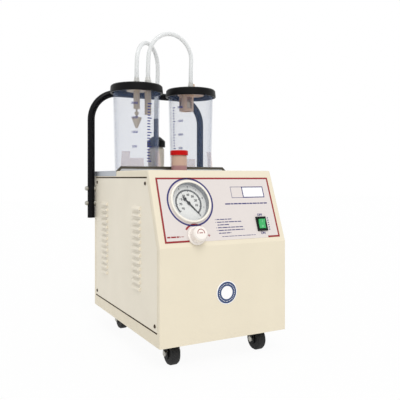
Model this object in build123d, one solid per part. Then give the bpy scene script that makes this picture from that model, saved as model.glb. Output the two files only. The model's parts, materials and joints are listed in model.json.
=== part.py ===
"""Portable vacuum aspirator on castors, as an assembly of separate pieces.

Millimetres. The origin is on the floor, under the middle of the overall box.
+X is the operator's right, the front faces -Y and +Z is up.
"""

import math
import os

from build123d import *

# Cabinet of bent sheet steel
CABINET_WIDTH = 305.0
CABINET_DEPTH = 435.0
CABINET_TOP = 403.0
SKIRT_BOTTOM = 50.0
SLOPE_FOOT = 247.0
SLOPE_RUN = 60.0
SHEET = 1.5
BEND_RADIUS = 3.0
FIT = 0.3

# Side covers with pressed louvres, and the rear panel
COVER_BOTTOM = 79.0
COVER_TOP = 386.0
COVER_FRONT_STRIP = 13.0
COVER_REAR_STRIP = 15.0
COVER_GAP = 1.2
LEDGE_WIDTH = 12.0
LEDGE_WELD = 3.5
LOUVRE_WIDTH = 45.0
LOUVRE_PITCH = 14.3
LOUVRE_HEIGHT = 9.0
LOUVRE_PROUD = 4.5
LOUVRE_COUNT = 13
LOUVRE_FIRST = 146.0
LOUVRE_COLUMNS = (124.0, 345.0)
COVER_SCREW_INSET = 11.0
REAR_PANEL_STRIP = 18.0
SCREW_RADIUS = 2.0
SCREW_HEAD_RADIUS = 4.0
SCREW_HEAD = 2.2
SCREW_LENGTH = 8.0

# Base plate and castors
BASE_TOP = 72.0
BASE_SHEET = 2.0
BASE_FLANGE = 14.0
CASTOR_INSET = 47.0
CASTOR_FRONT = 58.0
CASTOR_REAR = 360.0
CASTOR_TRAIL = 12.0
CASTOR_PLATE = 56.0
CASTOR_PLATE_SHEET = 2.5
CASTOR_NECK = 6.0
RACE_RADIUS = 15.0
CROWN_RADIUS = 17.0
CROWN_SHEET = 3.0
AXLE_BOSS = 11.0
AXLE_NUT_RADIUS = 6.5
AXLE_NUT = 4.0
WHEEL_RADIUS = 25.0
WHEEL_WIDTH = 20.0
WHEEL_HUB_WIDTH = 22.0
KINGPIN_RADIUS = 5.0
AXLE_RADIUS = 4.0
FORK_SHEET = 2.5
RUNNING_FIT = 0.05

# Push handle of round tube
HANDLE_TUBE_RADIUS = 9.5
HANDLE_WALL = 1.5
HANDLE_STANDOFF = 2.0
HANDLE_FROM_BACK = 7.5
HANDLE_LOWER_END = 281.0
HANDLE_TOP = 617.0
HANDLE_BEND = 75.0
HANDLE_BOLT_HEIGHTS = (320.0, 359.0)
HANDLE_BOLT_RADIUS = 3.0
DOME_NUT_RADIUS = 6.0
DOME_NUT_HEIGHT = 8.0

# Control panel on the slope: u from the left edge, v up the slope from its foot
PANEL_LEFT = 13.0
PANEL_RIGHT = 292.0
PANEL_LOW = 10.0
PANEL_HIGH = 150.0
PANEL_SHEET = 0.6
GAUGE_U = 84.4
GAUGE_V = 95.8
GAUGE_CASE_RADIUS = 45.0
GAUGE_CASE_DEPTH = 38.0
GAUGE_WALL = 1.5
BEZEL_LAP = 3.0
BEZEL_HEIGHT = 9.0
BEZEL_LEDGE = 3.5
LENS_THICKNESS = 2.0
POINTER_REST = -50.0
KNOB_U = 84.0
KNOB_V = 22.0
KNOB_RADIUS = 19.5
KNOB_HEIGHT = 24.0
KNOB_FLUTES = 10
SPINDLE_RADIUS = 3.0
VALVE_DEPTH = 34.0
VALVE_RADIUS = 13.0
SWITCH_U = 250.0
SWITCH_V = 41.0
SWITCH_WIDTH = 26.0
SWITCH_HEIGHT = 32.0
SWITCH_BEZEL = 3.0
SWITCH_RIM = 3.2
SWITCH_BODY_DEPTH = 22.0
SWITCH_WELL_DEPTH = 9.0
ROCKER_TILT = 10.0

# Jar tray and the curved stops that hold the jars
TRAY_MARGIN = 5.0
TRAY_SHEET = 1.0
TRAY_SKIRT = 12.0
TRAY_LIP = 12.0
STOP_FOOT_RADIUS = 67.5
STOP_TOP_RADIUS = 61.5
STOP_HEIGHT = 54.0
STOP_BAND_HEIGHT = 36.0
STOP_BASE_HEIGHT = 12.0
STOP_SHEET = 1.5
STOP_SPAN = 107.0
STOP_BAND_SPAN = 55.0
STOP_SIDE_LUG_SPAN = 17.0
STOP_REAR_LUG_SPAN = 22.0

# Suction jars and their lids
JAR_SPACING = 155.0
JAR_FROM_BACK = 117.0
JAR_FOOT_RADIUS = 55.0
JAR_RIM_RADIUS = 60.0
JAR_WALL = 2.5
JAR_FLOOR = 4.0
JAR_HEIGHT = 208.0
LID_RADIUS = 67.5
LID_TOP_RADIUS = 66.0
LID_SKIRT = 12.0
LID_PLATE = 8.0
LID_WALL = 5.8
SEAL_THICKNESS = 2.0
NIPPLE_HEIGHT = 18.0
NIPPLE_RADIUS = 4.0
PORT_B_OFFSET = 31.0
STEM_RADIUS = 8.0
STEM_BORE = 6.5
LEFT_STEM = 51.0
LEFT_DIP = 58.0
LEFT_INSERT_RADIUS = 25.5
RIGHT_INSERT_RADIUS = 35.0
INSERT_THICKNESS = 6.0
CAGE_OFFSET = -13.0
CAGE_RADIUS = 19.0
CAGE_WALL = 2.5
CAGE_DEPTH = 43.0
FLOAT_TRAVEL = 5.5
PATIENT_PORT_X = 22.0
PATIENT_PORT_Y = 30.0
PATIENT_PORT_RADIUS = 5.0
PATIENT_PORT_HEIGHT = 20.0

# Filter trap behind the jars, and the capped pot in front of them
TRAP_CLEARANCE = 4.0
TRAP_RADIUS = 22.0
TRAP_WALL = 2.0
TRAP_CAP_RADIUS = 24.5
TRAP_BOTTLE_HEIGHT = 66.0
TRAP_NECK_RADIUS = 18.0
TRAP_NECK = 12.0
TRAP_CAP_HEIGHT = 28.0
TRAP_DIP = 40.0
TRAP_SPOUT_RADIUS = 6.8
TRAP_SPOUT_BORE = 2.5
TRAP_SPOUT_HEIGHT = 49.0
TRAP_DRAIN_RADIUS = 5.5
TRAP_DRAIN = 22.0
POT_CLEARANCE = 7.0
POT_RADIUS = 19.3
POT_WALL = 1.5
POT_HEIGHT = 49.0
POT_CAP_RADIUS = 22.0
POT_CAP_HEIGHT = 13.0
POT_CAP_TOP = 2.5

# Pump set on the base plate
MOTOR_AXIS = 158.0
MOTOR_RADIUS = 58.0
MOTOR_LENGTH = 110.0
MOTOR_FRONT = 190.0
MOTOR_WALL = 8.0
SHAFT_RADIUS = 7.0
ROTOR_RADIUS = 36.0
FAN_RADIUS = 50.0
FAN_WIDTH = 18.0
FAN_BLADES = 7
CRANKCASE_LENGTH = 90.0
CRANKCASE_WIDTH = 96.0
CYLINDER_RADIUS = 34.0
CYLINDER_TOP = 268.0
HEAD_WIDTH = 80.0
HEAD_HEIGHT = 26.0
HEAD_PLATE = 10.0
HEAD_SLOT = 5.0
HEAD_PORT = 14.0
HEAD_FINS = 6
MOUNT_HEIGHT = 18.0
MOUNT_RADIUS = 12.0
MOUNT_WAIST = 9.0
MOUNT_SPACING = 90.0
MOUNT_INSET = 18.0

# Rear fittings
SILENCER_RADIUS = 10.0
SILENCER_PROUD = 14.0
SILENCER_FROM_SIDE = 82.5
INLET_FROM_SIDE = 72.5
REAR_FITTINGS_HEIGHT = 120.0
INLET_WIDTH = 30.0
INLET_HEIGHT = 44.0
INLET_FLANGE = 3.0
INLET_DEPTH = 26.0
DRAWER_WIDTH = 22.0
DRAWER_HEIGHT = 10.0

# Hoses
JAR_HOSE = 11.0
INNER_HOSE = 10.0
CORNER_SHARE = 0.45

# Values that follow from the sizes above
SLOPE_RISE = CABINET_TOP - SLOPE_FOOT
SLOPE_ANGLE = math.degrees(math.atan2(SLOPE_RUN, SLOPE_RISE))
SLOPE_LENGTH = math.hypot(SLOPE_RUN, SLOPE_RISE)
NORMAL_Y = -SLOPE_RISE / SLOPE_LENGTH
NORMAL_Z = SLOPE_RUN / SLOPE_LENGTH
KNOB_REACH = (
    -NORMAL_Y * (KNOB_HEIGHT + PANEL_SHEET) + (KNOB_RADIUS - KNOB_V) * NORMAL_Z
)
FRONT = (KNOB_REACH - CABINET_DEPTH - SILENCER_PROUD) / 2
BACK = FRONT + CABINET_DEPTH
SIDE = CABINET_WIDTH / 2
TRAY_TOP = CABINET_TOP + TRAY_SHEET
RIM = TRAY_TOP + JAR_HEIGHT
LID_UNDERSIDE = RIM + SEAL_THICKNESS
LID_TOP = LID_UNDERSIDE + LID_PLATE
PORT_TOP = LID_TOP + NIPPLE_HEIGHT
JAR_X = JAR_SPACING / 2
JAR_Y = BACK - JAR_FROM_BACK
TRAP_REACH = STOP_FOOT_RADIUS + STOP_SHEET + TRAP_RADIUS + TRAP_CLEARANCE
TRAP_Y = JAR_Y + math.sqrt(TRAP_REACH**2 - JAR_X**2)
TRAY_FRONT = JAR_Y - JAR_FOOT_RADIUS - TRAY_MARGIN
POT_Y = TRAY_FRONT - POT_CAP_RADIUS - POT_CLEARANCE
TRAP_CAP_BOTTOM = TRAY_TOP + TRAP_BOTTLE_HEIGHT
TRAP_CAP_TOP = TRAP_CAP_BOTTOM + TRAP_CAP_HEIGHT
TRAP_SPOUT_TOP = TRAP_CAP_TOP + TRAP_SPOUT_HEIGHT
HANDLE_Y = BACK - HANDLE_FROM_BACK
SILENCER_X = SIDE - SILENCER_FROM_SIDE
INLET_X = INLET_FROM_SIDE - SIDE
BEZEL_RADIUS = GAUGE_CASE_RADIUS + BEZEL_LAP
DIAL_RADIUS = GAUGE_CASE_RADIUS - BEZEL_LEDGE
HOSE_PORT = CYLINDER_TOP + HEAD_PLATE / 2
MOTOR_Y = FRONT + MOTOR_FRONT
PANEL = Plane(
    origin=(-SIDE, FRONT, SLOPE_FOOT), x_dir=(1, 0, 0), z_dir=(0, NORMAL_Y, NORMAL_Z)
)

os.makedirs("parts", exist_ok=True)


def block(x0, x1, y0, y1, z0, z1):
    """A block between two opposite corners."""
    middle = Pos((x0 + x1) / 2, (y0 + y1) / 2, (z0 + z1) / 2)
    return middle * Box(abs(x1 - x0), abs(y1 - y0), abs(z1 - z0))


def rod(radius, start, end):
    """A round bar from one point to another."""
    run = Vector(*end) - Vector(*start)
    lowest = (Align.CENTER, Align.CENTER, Align.MIN)
    return Plane(origin=start, z_dir=run) * Cylinder(radius, run.length, align=lowest)


def turned(*corners):
    """A solid of revolution about Z through (radius, height) corners."""
    outline = Polyline([(radius, 0, height) for radius, height in corners], close=True)
    return revolve(make_face(outline), axis=Axis.Z)


def side_slab(corners, x0, x1):
    """A slab between two X values with a (y, z) outline."""
    outline = Polyline([(x0, y, z) for y, z in corners], close=True)
    return extrude(make_face(outline), amount=x1 - x0, dir=(1, 0, 0))


def on_panel(u, v, height=0.0):
    """The frame of a fitting on the slope, facing out of the panel."""
    return PANEL * Pos(u, v, height)


def hose(route, diameter, label):
    """A round hose along a route whose corners are eased by tangent arcs."""
    points = [Vector(*point) for point in route]
    runs = [end - start for start, end in zip(points, points[1:])]
    radii = []
    for before, after in zip(runs, runs[1:]):
        half_turn = math.radians(before.get_angle(after)) / 2
        shorter = min(before.length, after.length)
        radii.append(CORNER_SHARE * shorter / math.tan(half_turn))
    path = FilletPolyline(*points, radius=radii)
    section = Plane(origin=points[0], z_dir=runs[0]) * Circle(diameter / 2)
    solid = sweep(section, path=path)
    expected = path.length * math.pi * diameter**2 / 4
    print(f"{label}: length {path.length:.1f}, smallest radius {min(radii):.1f},"
          f" volume over section times length {solid.volume / expected:.4f}")
    return solid


def save(shape, node):
    """Write one node's solids to its own file."""
    solids = shape.solids()
    export_step(solids[0] if len(solids) == 1 else Compound(children=solids),
                f"parts/{node}.step")


def cover_corners(grow):
    """The side cover's outline in the side plane, grown outwards by an amount."""
    strip = COVER_FRONT_STRIP - grow
    lean = math.tan(math.radians(SLOPE_ANGLE))
    along = strip / math.cos(math.radians(SLOPE_ANGLE))
    knee = SLOPE_FOOT + (strip - along) / lean
    top = COVER_TOP + grow
    return [
        (FRONT + strip, COVER_BOTTOM - grow),
        (FRONT + strip, knee),
        (FRONT + along + (top - SLOPE_FOOT) * lean, top),
        (BACK - COVER_REAR_STRIP + grow, top),
        (BACK - COVER_REAR_STRIP + grow, COVER_BOTTOM - grow),
    ]


def cover_screw_places():
    """Where the four screws of a side cover sit, as (y, z)."""
    front_low, _, front_top, rear_top, rear_low = cover_corners(-COVER_SCREW_INSET)
    return [front_low, front_top, rear_top, rear_low]


def rear_corners(grow):
    """Half width and lowest and highest edges of the rear panel, grown outwards."""
    return SIDE - REAR_PANEL_STRIP + grow, COVER_BOTTOM - grow, COVER_TOP + grow


def rear_screw_places():
    """Where the six screws of the rear panel sit, as (x, z)."""
    half, low, high = rear_corners(-COVER_SCREW_INSET + LEDGE_WIDTH / 2)
    return [(x, z) for x in (-half, 0, half) for z in (low, high)]


def cabinet_shell():
    """Front, slope, top, sides and back in one bent and welded sheet housing."""
    corners = [(FRONT, SKIRT_BOTTOM), (FRONT, SLOPE_FOOT), (FRONT + SLOPE_RUN, CABINET_TOP),
               (BACK, CABINET_TOP), (BACK, SKIRT_BOTTOM)]
    outer = side_slab(corners, -SIDE, SIDE)
    outer = fillet(outer.edges().filter_by(lambda edge: edge.center().Z > SKIRT_BOTTOM + 1),
                   BEND_RADIUS)
    floor_face = outer.faces().sort_by(Axis.Z)[0]
    shell = offset(outer, amount=-SHEET, openings=floor_face)
    for side in (-1, 1):
        skin = side * (SIDE - SHEET)
        ledge = side_slab(cover_corners(LEDGE_WELD), skin - side * SHEET, skin)
        shell -= side_slab(cover_corners(COVER_GAP), side * (SIDE + 1), skin - side * 0.01)
        ledge -= side_slab(cover_corners(-LEDGE_WIDTH), skin - side * 3 * SHEET, skin + side)
        for y, z in cover_screw_places():
            ledge -= rod(SCREW_RADIUS, (side * (SIDE + 1), y, z), (skin - side * 9, y, z))
        shell += ledge
        for height in HANDLE_BOLT_HEIGHTS:
            y = HANDLE_Y
            shell -= rod(HANDLE_BOLT_RADIUS, (0, y, height), (side * (SIDE + 9), y, height))
    return shell


def louvre(side, depth, height):
    """A pressed hood with its mouth downwards, and the slot behind it."""
    skin = side * SIDE
    y = FRONT + depth
    thickness = SHEET / 2

    def hood(shrink):
        reach = LOUVRE_PROUD - shrink
        slope = [(0, LOUVRE_HEIGHT - shrink), (reach, LOUVRE_HEIGHT / 3), (reach, 0), (0, 0)]
        corners = [(skin + side * out, y, height + up) for out, up in slope]
        half = LOUVRE_WIDTH / 2 - shrink
        face = make_face(Polyline(corners, close=True))
        return extrude(face, amount=half, dir=(0, 1, 0), both=True)

    slot_half = LOUVRE_WIDTH / 2 - thickness
    slot = block(skin - side * 2 * SHEET, skin + side * 0.01, y - slot_half, y + slot_half,
                 height - 0.01, height + LOUVRE_HEIGHT * 0.6)
    mouth = Pos(0, 0, -0.01) * hood(thickness)
    return hood(0), mouth, slot


def side_cover(side):
    """One side cover: a flat plate with two columns of louvres."""
    skin = side * SIDE
    plate = side_slab(cover_corners(0), skin - side * SHEET, skin)
    parts = [louvre(side, depth, LOUVRE_FIRST + i * LOUVRE_PITCH)
             for depth in LOUVRE_COLUMNS for i in range(LOUVRE_COUNT)]
    plate += [hood for hood, _, _ in parts]
    plate -= [mouth for _, mouth, _ in parts]
    plate -= [slot for _, _, slot in parts]
    for y, z in cover_screw_places():
        plate -= rod(SCREW_RADIUS + FIT, (skin - side * 9, y, z), (skin + side * 9, y, z))
    return plate


def pan_screw(start, inwards):
    """A pan-head screw seated at a point, with its shank pointing inwards."""
    head = turned((0, 0), (SCREW_HEAD_RADIUS, 0), (SCREW_HEAD_RADIUS, SCREW_HEAD * 0.4),
                  (SCREW_HEAD_RADIUS * 0.6, SCREW_HEAD), (0, SCREW_HEAD))
    shank = Pos(0, 0, -SCREW_LENGTH) * Cylinder(
        SCREW_RADIUS, SCREW_LENGTH, align=(Align.CENTER, Align.CENTER, Align.MIN))
    return Plane(origin=start, z_dir=-Vector(*inwards)) * (head + shank)


def rear_panel():
    """The plate that closes the back, with holes for the fittings."""
    half, low, high = rear_corners(0)
    plate = block(-half, half, BACK - SHEET, BACK, low, high)
    for x, z in rear_screw_places():
        plate -= rod(SCREW_RADIUS + FIT, (x, BACK - 9, z), (x, BACK + 9, z))
    plate -= block(INLET_X - INLET_WIDTH / 2, INLET_X + INLET_WIDTH / 2, BACK - 9, BACK + 9,
                   REAR_FITTINGS_HEIGHT - INLET_HEIGHT / 2,
                   REAR_FITTINGS_HEIGHT + INLET_HEIGHT / 2)
    plate -= rod(SILENCER_RADIUS * 0.7, (SILENCER_X, BACK - 9, REAR_FITTINGS_HEIGHT),
                 (SILENCER_X, BACK + 9, REAR_FITTINGS_HEIGHT))
    return plate


def finish_shell(shell):
    """Cut the rear opening, its ledge, the panel holes and the trap hole."""
    half, low, high = rear_corners(COVER_GAP)
    shell -= block(-half, half, BACK - SHEET - 0.01, BACK + 9, low, high)
    half, low, high = rear_corners(LEDGE_WELD)
    ledge = block(-half, half, BACK - 2 * SHEET, BACK - SHEET, low, high)
    half, low, high = rear_corners(-LEDGE_WIDTH)
    ledge -= block(-half, half, BACK - 9, BACK + 9, low, high)
    for x, z in rear_screw_places():
        ledge -= rod(SCREW_RADIUS, (x, BACK - 9, z), (x, BACK + 9, z))
    shell += ledge
    shell -= on_panel(GAUGE_U, GAUGE_V) * Cylinder(GAUGE_CASE_RADIUS + FIT, 6 * SHEET)
    shell -= on_panel(KNOB_U, KNOB_V) * Cylinder(VALVE_RADIUS / 2 + FIT, 6 * SHEET)
    shell -= on_panel(SWITCH_U, SWITCH_V) * Box(
        SWITCH_WIDTH - 2 * SWITCH_RIM + FIT, SWITCH_HEIGHT - 2 * SWITCH_RIM + FIT, 6 * SHEET)
    shell -= rod(TRAP_SPOUT_RADIUS, (0, TRAP_Y, CABINET_TOP - 9), (0, TRAP_Y, CABINET_TOP + 9))
    return shell


def control_panel():
    """The thin label plate on the slope, with holes for its fittings."""
    width = PANEL_RIGHT - PANEL_LEFT
    height = PANEL_HIGH - PANEL_LOW
    middle = on_panel(PANEL_LEFT + width / 2, PANEL_LOW + height / 2, PANEL_SHEET / 2)
    plate = middle * Box(width, height, PANEL_SHEET)
    plate -= on_panel(GAUGE_U, GAUGE_V) * Cylinder(GAUGE_CASE_RADIUS + FIT, 6 * SHEET)
    plate -= on_panel(KNOB_U, KNOB_V) * Cylinder(VALVE_RADIUS / 2 + FIT, 6 * SHEET)
    plate -= on_panel(SWITCH_U, SWITCH_V) * Box(
        SWITCH_WIDTH - 2 * SWITCH_RIM + FIT, SWITCH_HEIGHT - 2 * SWITCH_RIM + FIT, 6 * SHEET)
    return plate


def gauge():
    """Vacuum gauge: case, bezel, dial, lens and pointer, in panel coordinates."""
    seat = PANEL_SHEET
    lens_low = seat + BEZEL_HEIGHT - 2 - LENS_THICKNESS
    dial_top = seat
    case = turned((0, -GAUGE_CASE_DEPTH), (GAUGE_CASE_RADIUS, -GAUGE_CASE_DEPTH),
                  (GAUGE_CASE_RADIUS, lens_low), (GAUGE_CASE_RADIUS - GAUGE_WALL, lens_low),
                  (GAUGE_CASE_RADIUS - GAUGE_WALL, dial_top - 1),
                  (GAUGE_CASE_RADIUS - 2 * GAUGE_WALL, dial_top - 1),
                  (GAUGE_CASE_RADIUS - 2 * GAUGE_WALL, GAUGE_WALL - GAUGE_CASE_DEPTH),
                  (0, GAUGE_WALL - GAUGE_CASE_DEPTH))
    top = seat + BEZEL_HEIGHT
    bezel = turned((GAUGE_CASE_RADIUS, seat), (BEZEL_RADIUS, seat), (BEZEL_RADIUS, top - 2.5),
                   (BEZEL_RADIUS - 1.5, top), (DIAL_RADIUS + 1, top), (DIAL_RADIUS, top - 1.5),
                   (DIAL_RADIUS, top - 2), (GAUGE_CASE_RADIUS, top - 2))
    dial = turned((SPINDLE_RADIUS, dial_top - 1), (GAUGE_CASE_RADIUS - GAUGE_WALL, dial_top - 1),
                  (GAUGE_CASE_RADIUS - GAUGE_WALL, dial_top), (SPINDLE_RADIUS, dial_top))
    lens = Pos(0, 0, lens_low) * Cylinder(
        GAUGE_CASE_RADIUS - 0.2, LENS_THICKNESS, align=(Align.CENTER, Align.CENTER, Align.MIN))
    low = dial_top + 1
    tail = DIAL_RADIUS * 0.3
    tip = DIAL_RADIUS * 0.82
    blade = make_face(Polyline([(-tail, -1.6, low), (tip, -0.3, low), (tip, 0.3, low),
                                (-tail, 1.6, low)], close=True))
    pointer = extrude(blade, amount=0.8, dir=(0, 0, 1))
    pointer += Pos(0, 0, low) * Cylinder(3.5, 1.6, align=(Align.CENTER, Align.CENTER, Align.MIN))
    pointer += Pos(0, 0, low) * Cylinder(1.5, 6, align=(Align.CENTER, Align.CENTER, Align.MAX))
    place = on_panel(GAUGE_U, GAUGE_V)
    return {
        "gauge_case": place * case,
        "gauge_bezel": place * bezel,
        "gauge_dial": place * dial,
        "gauge_lens": place * lens,
        "gauge_pointer": place * Rot(0, 0, POINTER_REST) * pointer,
    }


def regulator():
    """Vacuum regulator: the fluted knob with its spindle, and the valve behind."""
    seat = PANEL_SHEET + FIT
    skirt = KNOB_HEIGHT * 0.25
    grip = KNOB_RADIUS * 0.86
    knob = turned((0, seat), (KNOB_RADIUS, seat), (KNOB_RADIUS, skirt * 0.8),
                  (KNOB_RADIUS - 1.5, skirt), (grip, skirt), (grip - 1.5, KNOB_HEIGHT - 2),
                  (grip - 4, KNOB_HEIGHT + seat), (0, KNOB_HEIGHT + seat))
    for i in range(KNOB_FLUTES):
        knob -= (Rot(0, 0, i * 360 / KNOB_FLUTES) * Pos(grip + 1.5, 0, skirt + KNOB_HEIGHT / 2)
                 * Cylinder(3, KNOB_HEIGHT))
    knob += rod(SPINDLE_RADIUS, (0, 0, seat), (0, 0, -VALVE_DEPTH / 2))
    bore = SPINDLE_RADIUS + RUNNING_FIT
    neck = VALVE_RADIUS / 2
    valve = turned((bore, -VALVE_DEPTH / 2 - 1), (bore, PANEL_SHEET), (neck, PANEL_SHEET),
                   (neck, -SHEET), (VALVE_RADIUS, -SHEET), (VALVE_RADIUS, -VALVE_DEPTH),
                   (0, -VALVE_DEPTH), (0, -VALVE_DEPTH / 2 - 1))
    place = on_panel(KNOB_U, KNOB_V)
    return {"regulator_knob": place * knob, "regulator_valve": place * valve}


def power_switch():
    """Rocker switch: the snap-in frame and the rocker that tilts in it."""
    seat = PANEL_SHEET
    inner_width = SWITCH_WIDTH - 2 * SWITCH_RIM
    inner_height = SWITCH_HEIGHT - 2 * SWITCH_RIM
    wall = 1.2
    frame = Pos(0, 0, seat + SWITCH_BEZEL / 2) * Box(SWITCH_WIDTH, SWITCH_HEIGHT, SWITCH_BEZEL)
    body = Pos(0, 0, seat) * Box(inner_width, inner_height, SWITCH_BODY_DEPTH,
                                 align=(Align.CENTER, Align.CENTER, Align.MAX))
    well_depth = SWITCH_BEZEL + SWITCH_WELL_DEPTH
    frame = frame + body
    frame -= Pos(0, 0, seat + SWITCH_BEZEL - well_depth / 2) * Box(
        inner_width - 2 * wall, inner_height - 2 * wall, well_depth)
    pivot = seat + SWITCH_BEZEL - 1
    reach = inner_height / 2 - wall - 1.2
    half = inner_width / 2 - wall - FIT
    outline = Polyline([(-half, -reach, pivot + 3.2), (-half, 0, pivot + 1.4),
                        (-half, reach, pivot + 3.2), (-half, reach, pivot - 1.5),
                        (-half, 3, pivot - 6), (-half, -3, pivot - 6),
                        (-half, -reach, pivot - 1.5)], close=True)
    rocker = extrude(make_face(outline), amount=2 * half, dir=(1, 0, 0))
    rocker = Pos(0, 0, pivot) * Rot(ROCKER_TILT, 0, 0) * Pos(0, 0, -pivot) * rocker
    place = on_panel(SWITCH_U, SWITCH_V)
    return {"switch_frame": place * frame, "switch_rocker": place * rocker}


def base_plate():
    """Floor of the cabinet, a tray folded downwards inside the skirt."""
    inside = SIDE - SHEET
    plate = block(-inside, inside, FRONT + SHEET, BACK - SHEET, BASE_TOP - BASE_FLANGE, BASE_TOP)
    plate = fillet(plate.edges().filter_by(Axis.Z), BEND_RADIUS)
    plate -= block(-inside + BASE_SHEET, inside - BASE_SHEET, FRONT + SHEET + BASE_SHEET,
                   BACK - SHEET - BASE_SHEET, BASE_TOP - BASE_FLANGE - 1, BASE_TOP - BASE_SHEET)
    return plate


def castor(side, depth):
    """One swivel castor: plate and kingpin, fork, axle and wheel."""
    x = side * (SIDE - CASTOR_INSET)
    y = FRONT + depth
    top = BASE_TOP - BASE_SHEET
    neck_top = top - CASTOR_PLATE_SHEET
    crown = neck_top - CASTOR_NECK
    pin_end = crown - CROWN_SHEET - 1.5
    plate = Pos(x, y, top - CASTOR_PLATE_SHEET / 2) * Box(
        CASTOR_PLATE, CASTOR_PLATE, CASTOR_PLATE_SHEET)
    plate = fillet(plate.edges().filter_by(Axis.Z), 5)
    race = crown + FIT
    plate += rod(RACE_RADIUS, (x, y, race), (x, y, neck_top))
    plate += rod(KINGPIN_RADIUS, (x, y, pin_end), (x, y, race))
    plate += rod(KINGPIN_RADIUS + 2.5, (x, y, pin_end - 1), (x, y, pin_end))
    axle_y = y - CASTOR_TRAIL
    half = WHEEL_HUB_WIDTH / 2 + FIT
    fork = rod(CROWN_RADIUS, (x, y, crown - CROWN_SHEET), (x, y, crown))
    for cheek in (-1, 1):
        inner = x + cheek * half
        outer = inner + cheek * FORK_SHEET
        corners = [(y - 16, crown), (y + 14, crown), (y + 14, crown - 7),
                   (axle_y + AXLE_BOSS, WHEEL_RADIUS + 2), (axle_y + 6, WHEEL_RADIUS - 4),
                   (axle_y - 6, WHEEL_RADIUS - 4), (axle_y - AXLE_BOSS, WHEEL_RADIUS + 2),
                   (y - 20, crown - 12)]
        fork += side_slab(corners, inner, outer)
        fork += rod(AXLE_BOSS, (inner, axle_y, WHEEL_RADIUS), (outer, axle_y, WHEEL_RADIUS))
    fork += block(x - half - 0.01, x + half + 0.01, y - 16, y + 14, crown - CROWN_SHEET, crown)
    fork -= rod(KINGPIN_RADIUS + RUNNING_FIT, (x, y, crown - 9), (x, y, crown + 1))
    reach = half + FORK_SHEET
    fork -= rod(AXLE_RADIUS, (x - reach - 1, axle_y, WHEEL_RADIUS),
                (x + reach + 1, axle_y, WHEEL_RADIUS))
    axle = rod(AXLE_RADIUS, (x - reach, axle_y, WHEEL_RADIUS), (x + reach, axle_y, WHEEL_RADIUS))
    for cheek in (-1, 1):
        face = Plane(origin=(x + cheek * reach, axle_y, WHEEL_RADIUS), z_dir=(cheek, 0, 0))
        axle += extrude(face * RegularPolygon(AXLE_NUT_RADIUS, 6), amount=AXLE_NUT)
    bore = AXLE_RADIUS + RUNNING_FIT
    rim = WHEEL_WIDTH / 2
    hub = WHEEL_HUB_WIDTH / 2
    wheel = turned((bore, -hub), (8, -hub), (8, -rim), (18, -rim), (21, -rim), (23, -rim + 0.8),
                   (WHEEL_RADIUS, -rim + 4), (WHEEL_RADIUS, rim - 4), (23, rim - 0.8),
                   (18, rim), (8, rim), (8, hub), (bore, hub))
    wheel = Pos(x, axle_y, WHEEL_RADIUS) * Rot(0, 90, 0) * wheel
    return plate, fork, axle, wheel


def handle():
    """The U-shaped tube with its fixings: saddle spacers, bolts and dome nuts."""
    x = SIDE + HANDLE_STANDOFF + HANDLE_TUBE_RADIUS
    y = HANDLE_Y
    path = FilletPolyline((-x, y, HANDLE_LOWER_END), (-x, y, HANDLE_TOP), (x, y, HANDLE_TOP),
                          (x, y, HANDLE_LOWER_END), radius=HANDLE_BEND)
    start = Plane(origin=(-x, y, HANDLE_LOWER_END))
    tube = sweep(start * Circle(HANDLE_TUBE_RADIUS), path=path)
    bore = sweep(start * Circle(HANDLE_TUBE_RADIUS - HANDLE_WALL), path=path)
    plug = HANDLE_LOWER_END + 2
    for side in (-1, 1):
        tube_leg = rod(HANDLE_TUBE_RADIUS, (side * x, y, HANDLE_LOWER_END), (side * x, y, plug))
        bore -= tube_leg
    tube -= bore
    fixings = []
    for side in (-1, 1):
        for height in HANDLE_BOLT_HEIGHTS:
            inner = side * (SIDE - SHEET)
            outer = side * (x + HANDLE_TUBE_RADIUS)
            start_point = (inner, y, height)
            tube -= rod(HANDLE_BOLT_RADIUS, start_point, (side * (x + 2 * HANDLE_TUBE_RADIUS),
                                                          y, height))
            spacer = rod(DOME_NUT_RADIUS + 1.5, (side * SIDE, y, height), (side * x, y, height))
            spacer -= rod(HANDLE_TUBE_RADIUS, (side * x, y, height - 20), (side * x, y, height + 20))
            spacer -= rod(HANDLE_BOLT_RADIUS, start_point, (side * x, y, height))
            fixings.append(spacer)
            bolt = rod(HANDLE_BOLT_RADIUS, start_point, (outer, y, height))
            bolt += rod(HANDLE_BOLT_RADIUS + 0.8, (inner - side * 3, y, height), start_point)
            seat = Plane(origin=(outer, y, height), z_dir=(side, 0, 0))
            dome = turned((0, 0), (DOME_NUT_RADIUS, 0), (DOME_NUT_RADIUS, DOME_NUT_HEIGHT * 0.5),
                          (DOME_NUT_RADIUS * 0.7, DOME_NUT_HEIGHT * 0.85), (0, DOME_NUT_HEIGHT))
            fixings.append(bolt + seat * dome)
    return {"handle_tube": tube, "handle_fixings": Compound(children=fixings)}


def jar_tray():
    """Stainless tray over the rear of the cabinet top, folded down on three sides."""
    front = TRAY_FRONT
    out = SIDE + TRAY_SHEET
    tray = block(-out, out, front, BACK + TRAY_SHEET, CABINET_TOP - TRAY_SKIRT, TRAY_TOP)
    tray -= block(-SIDE, SIDE, front - 1, BACK, CABINET_TOP - TRAY_SKIRT - 1, CABINET_TOP)
    lip_top = CABINET_TOP + TRAY_LIP
    corners = [(-out, CABINET_TOP), (out, CABINET_TOP), (out, TRAY_TOP),
               (out - TRAY_LIP, lip_top), (TRAY_LIP - out, lip_top), (-out, TRAY_TOP)]
    lip = make_face(Polyline([(x, front, z) for x, z in corners], close=True))
    tray += extrude(lip, amount=TRAY_SHEET, dir=(0, 1, 0))
    tray -= rod(TRAP_SPOUT_RADIUS, (0, TRAP_Y, CABINET_TOP - 9), (0, TRAP_Y, CABINET_TOP + 9))
    return tray


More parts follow.
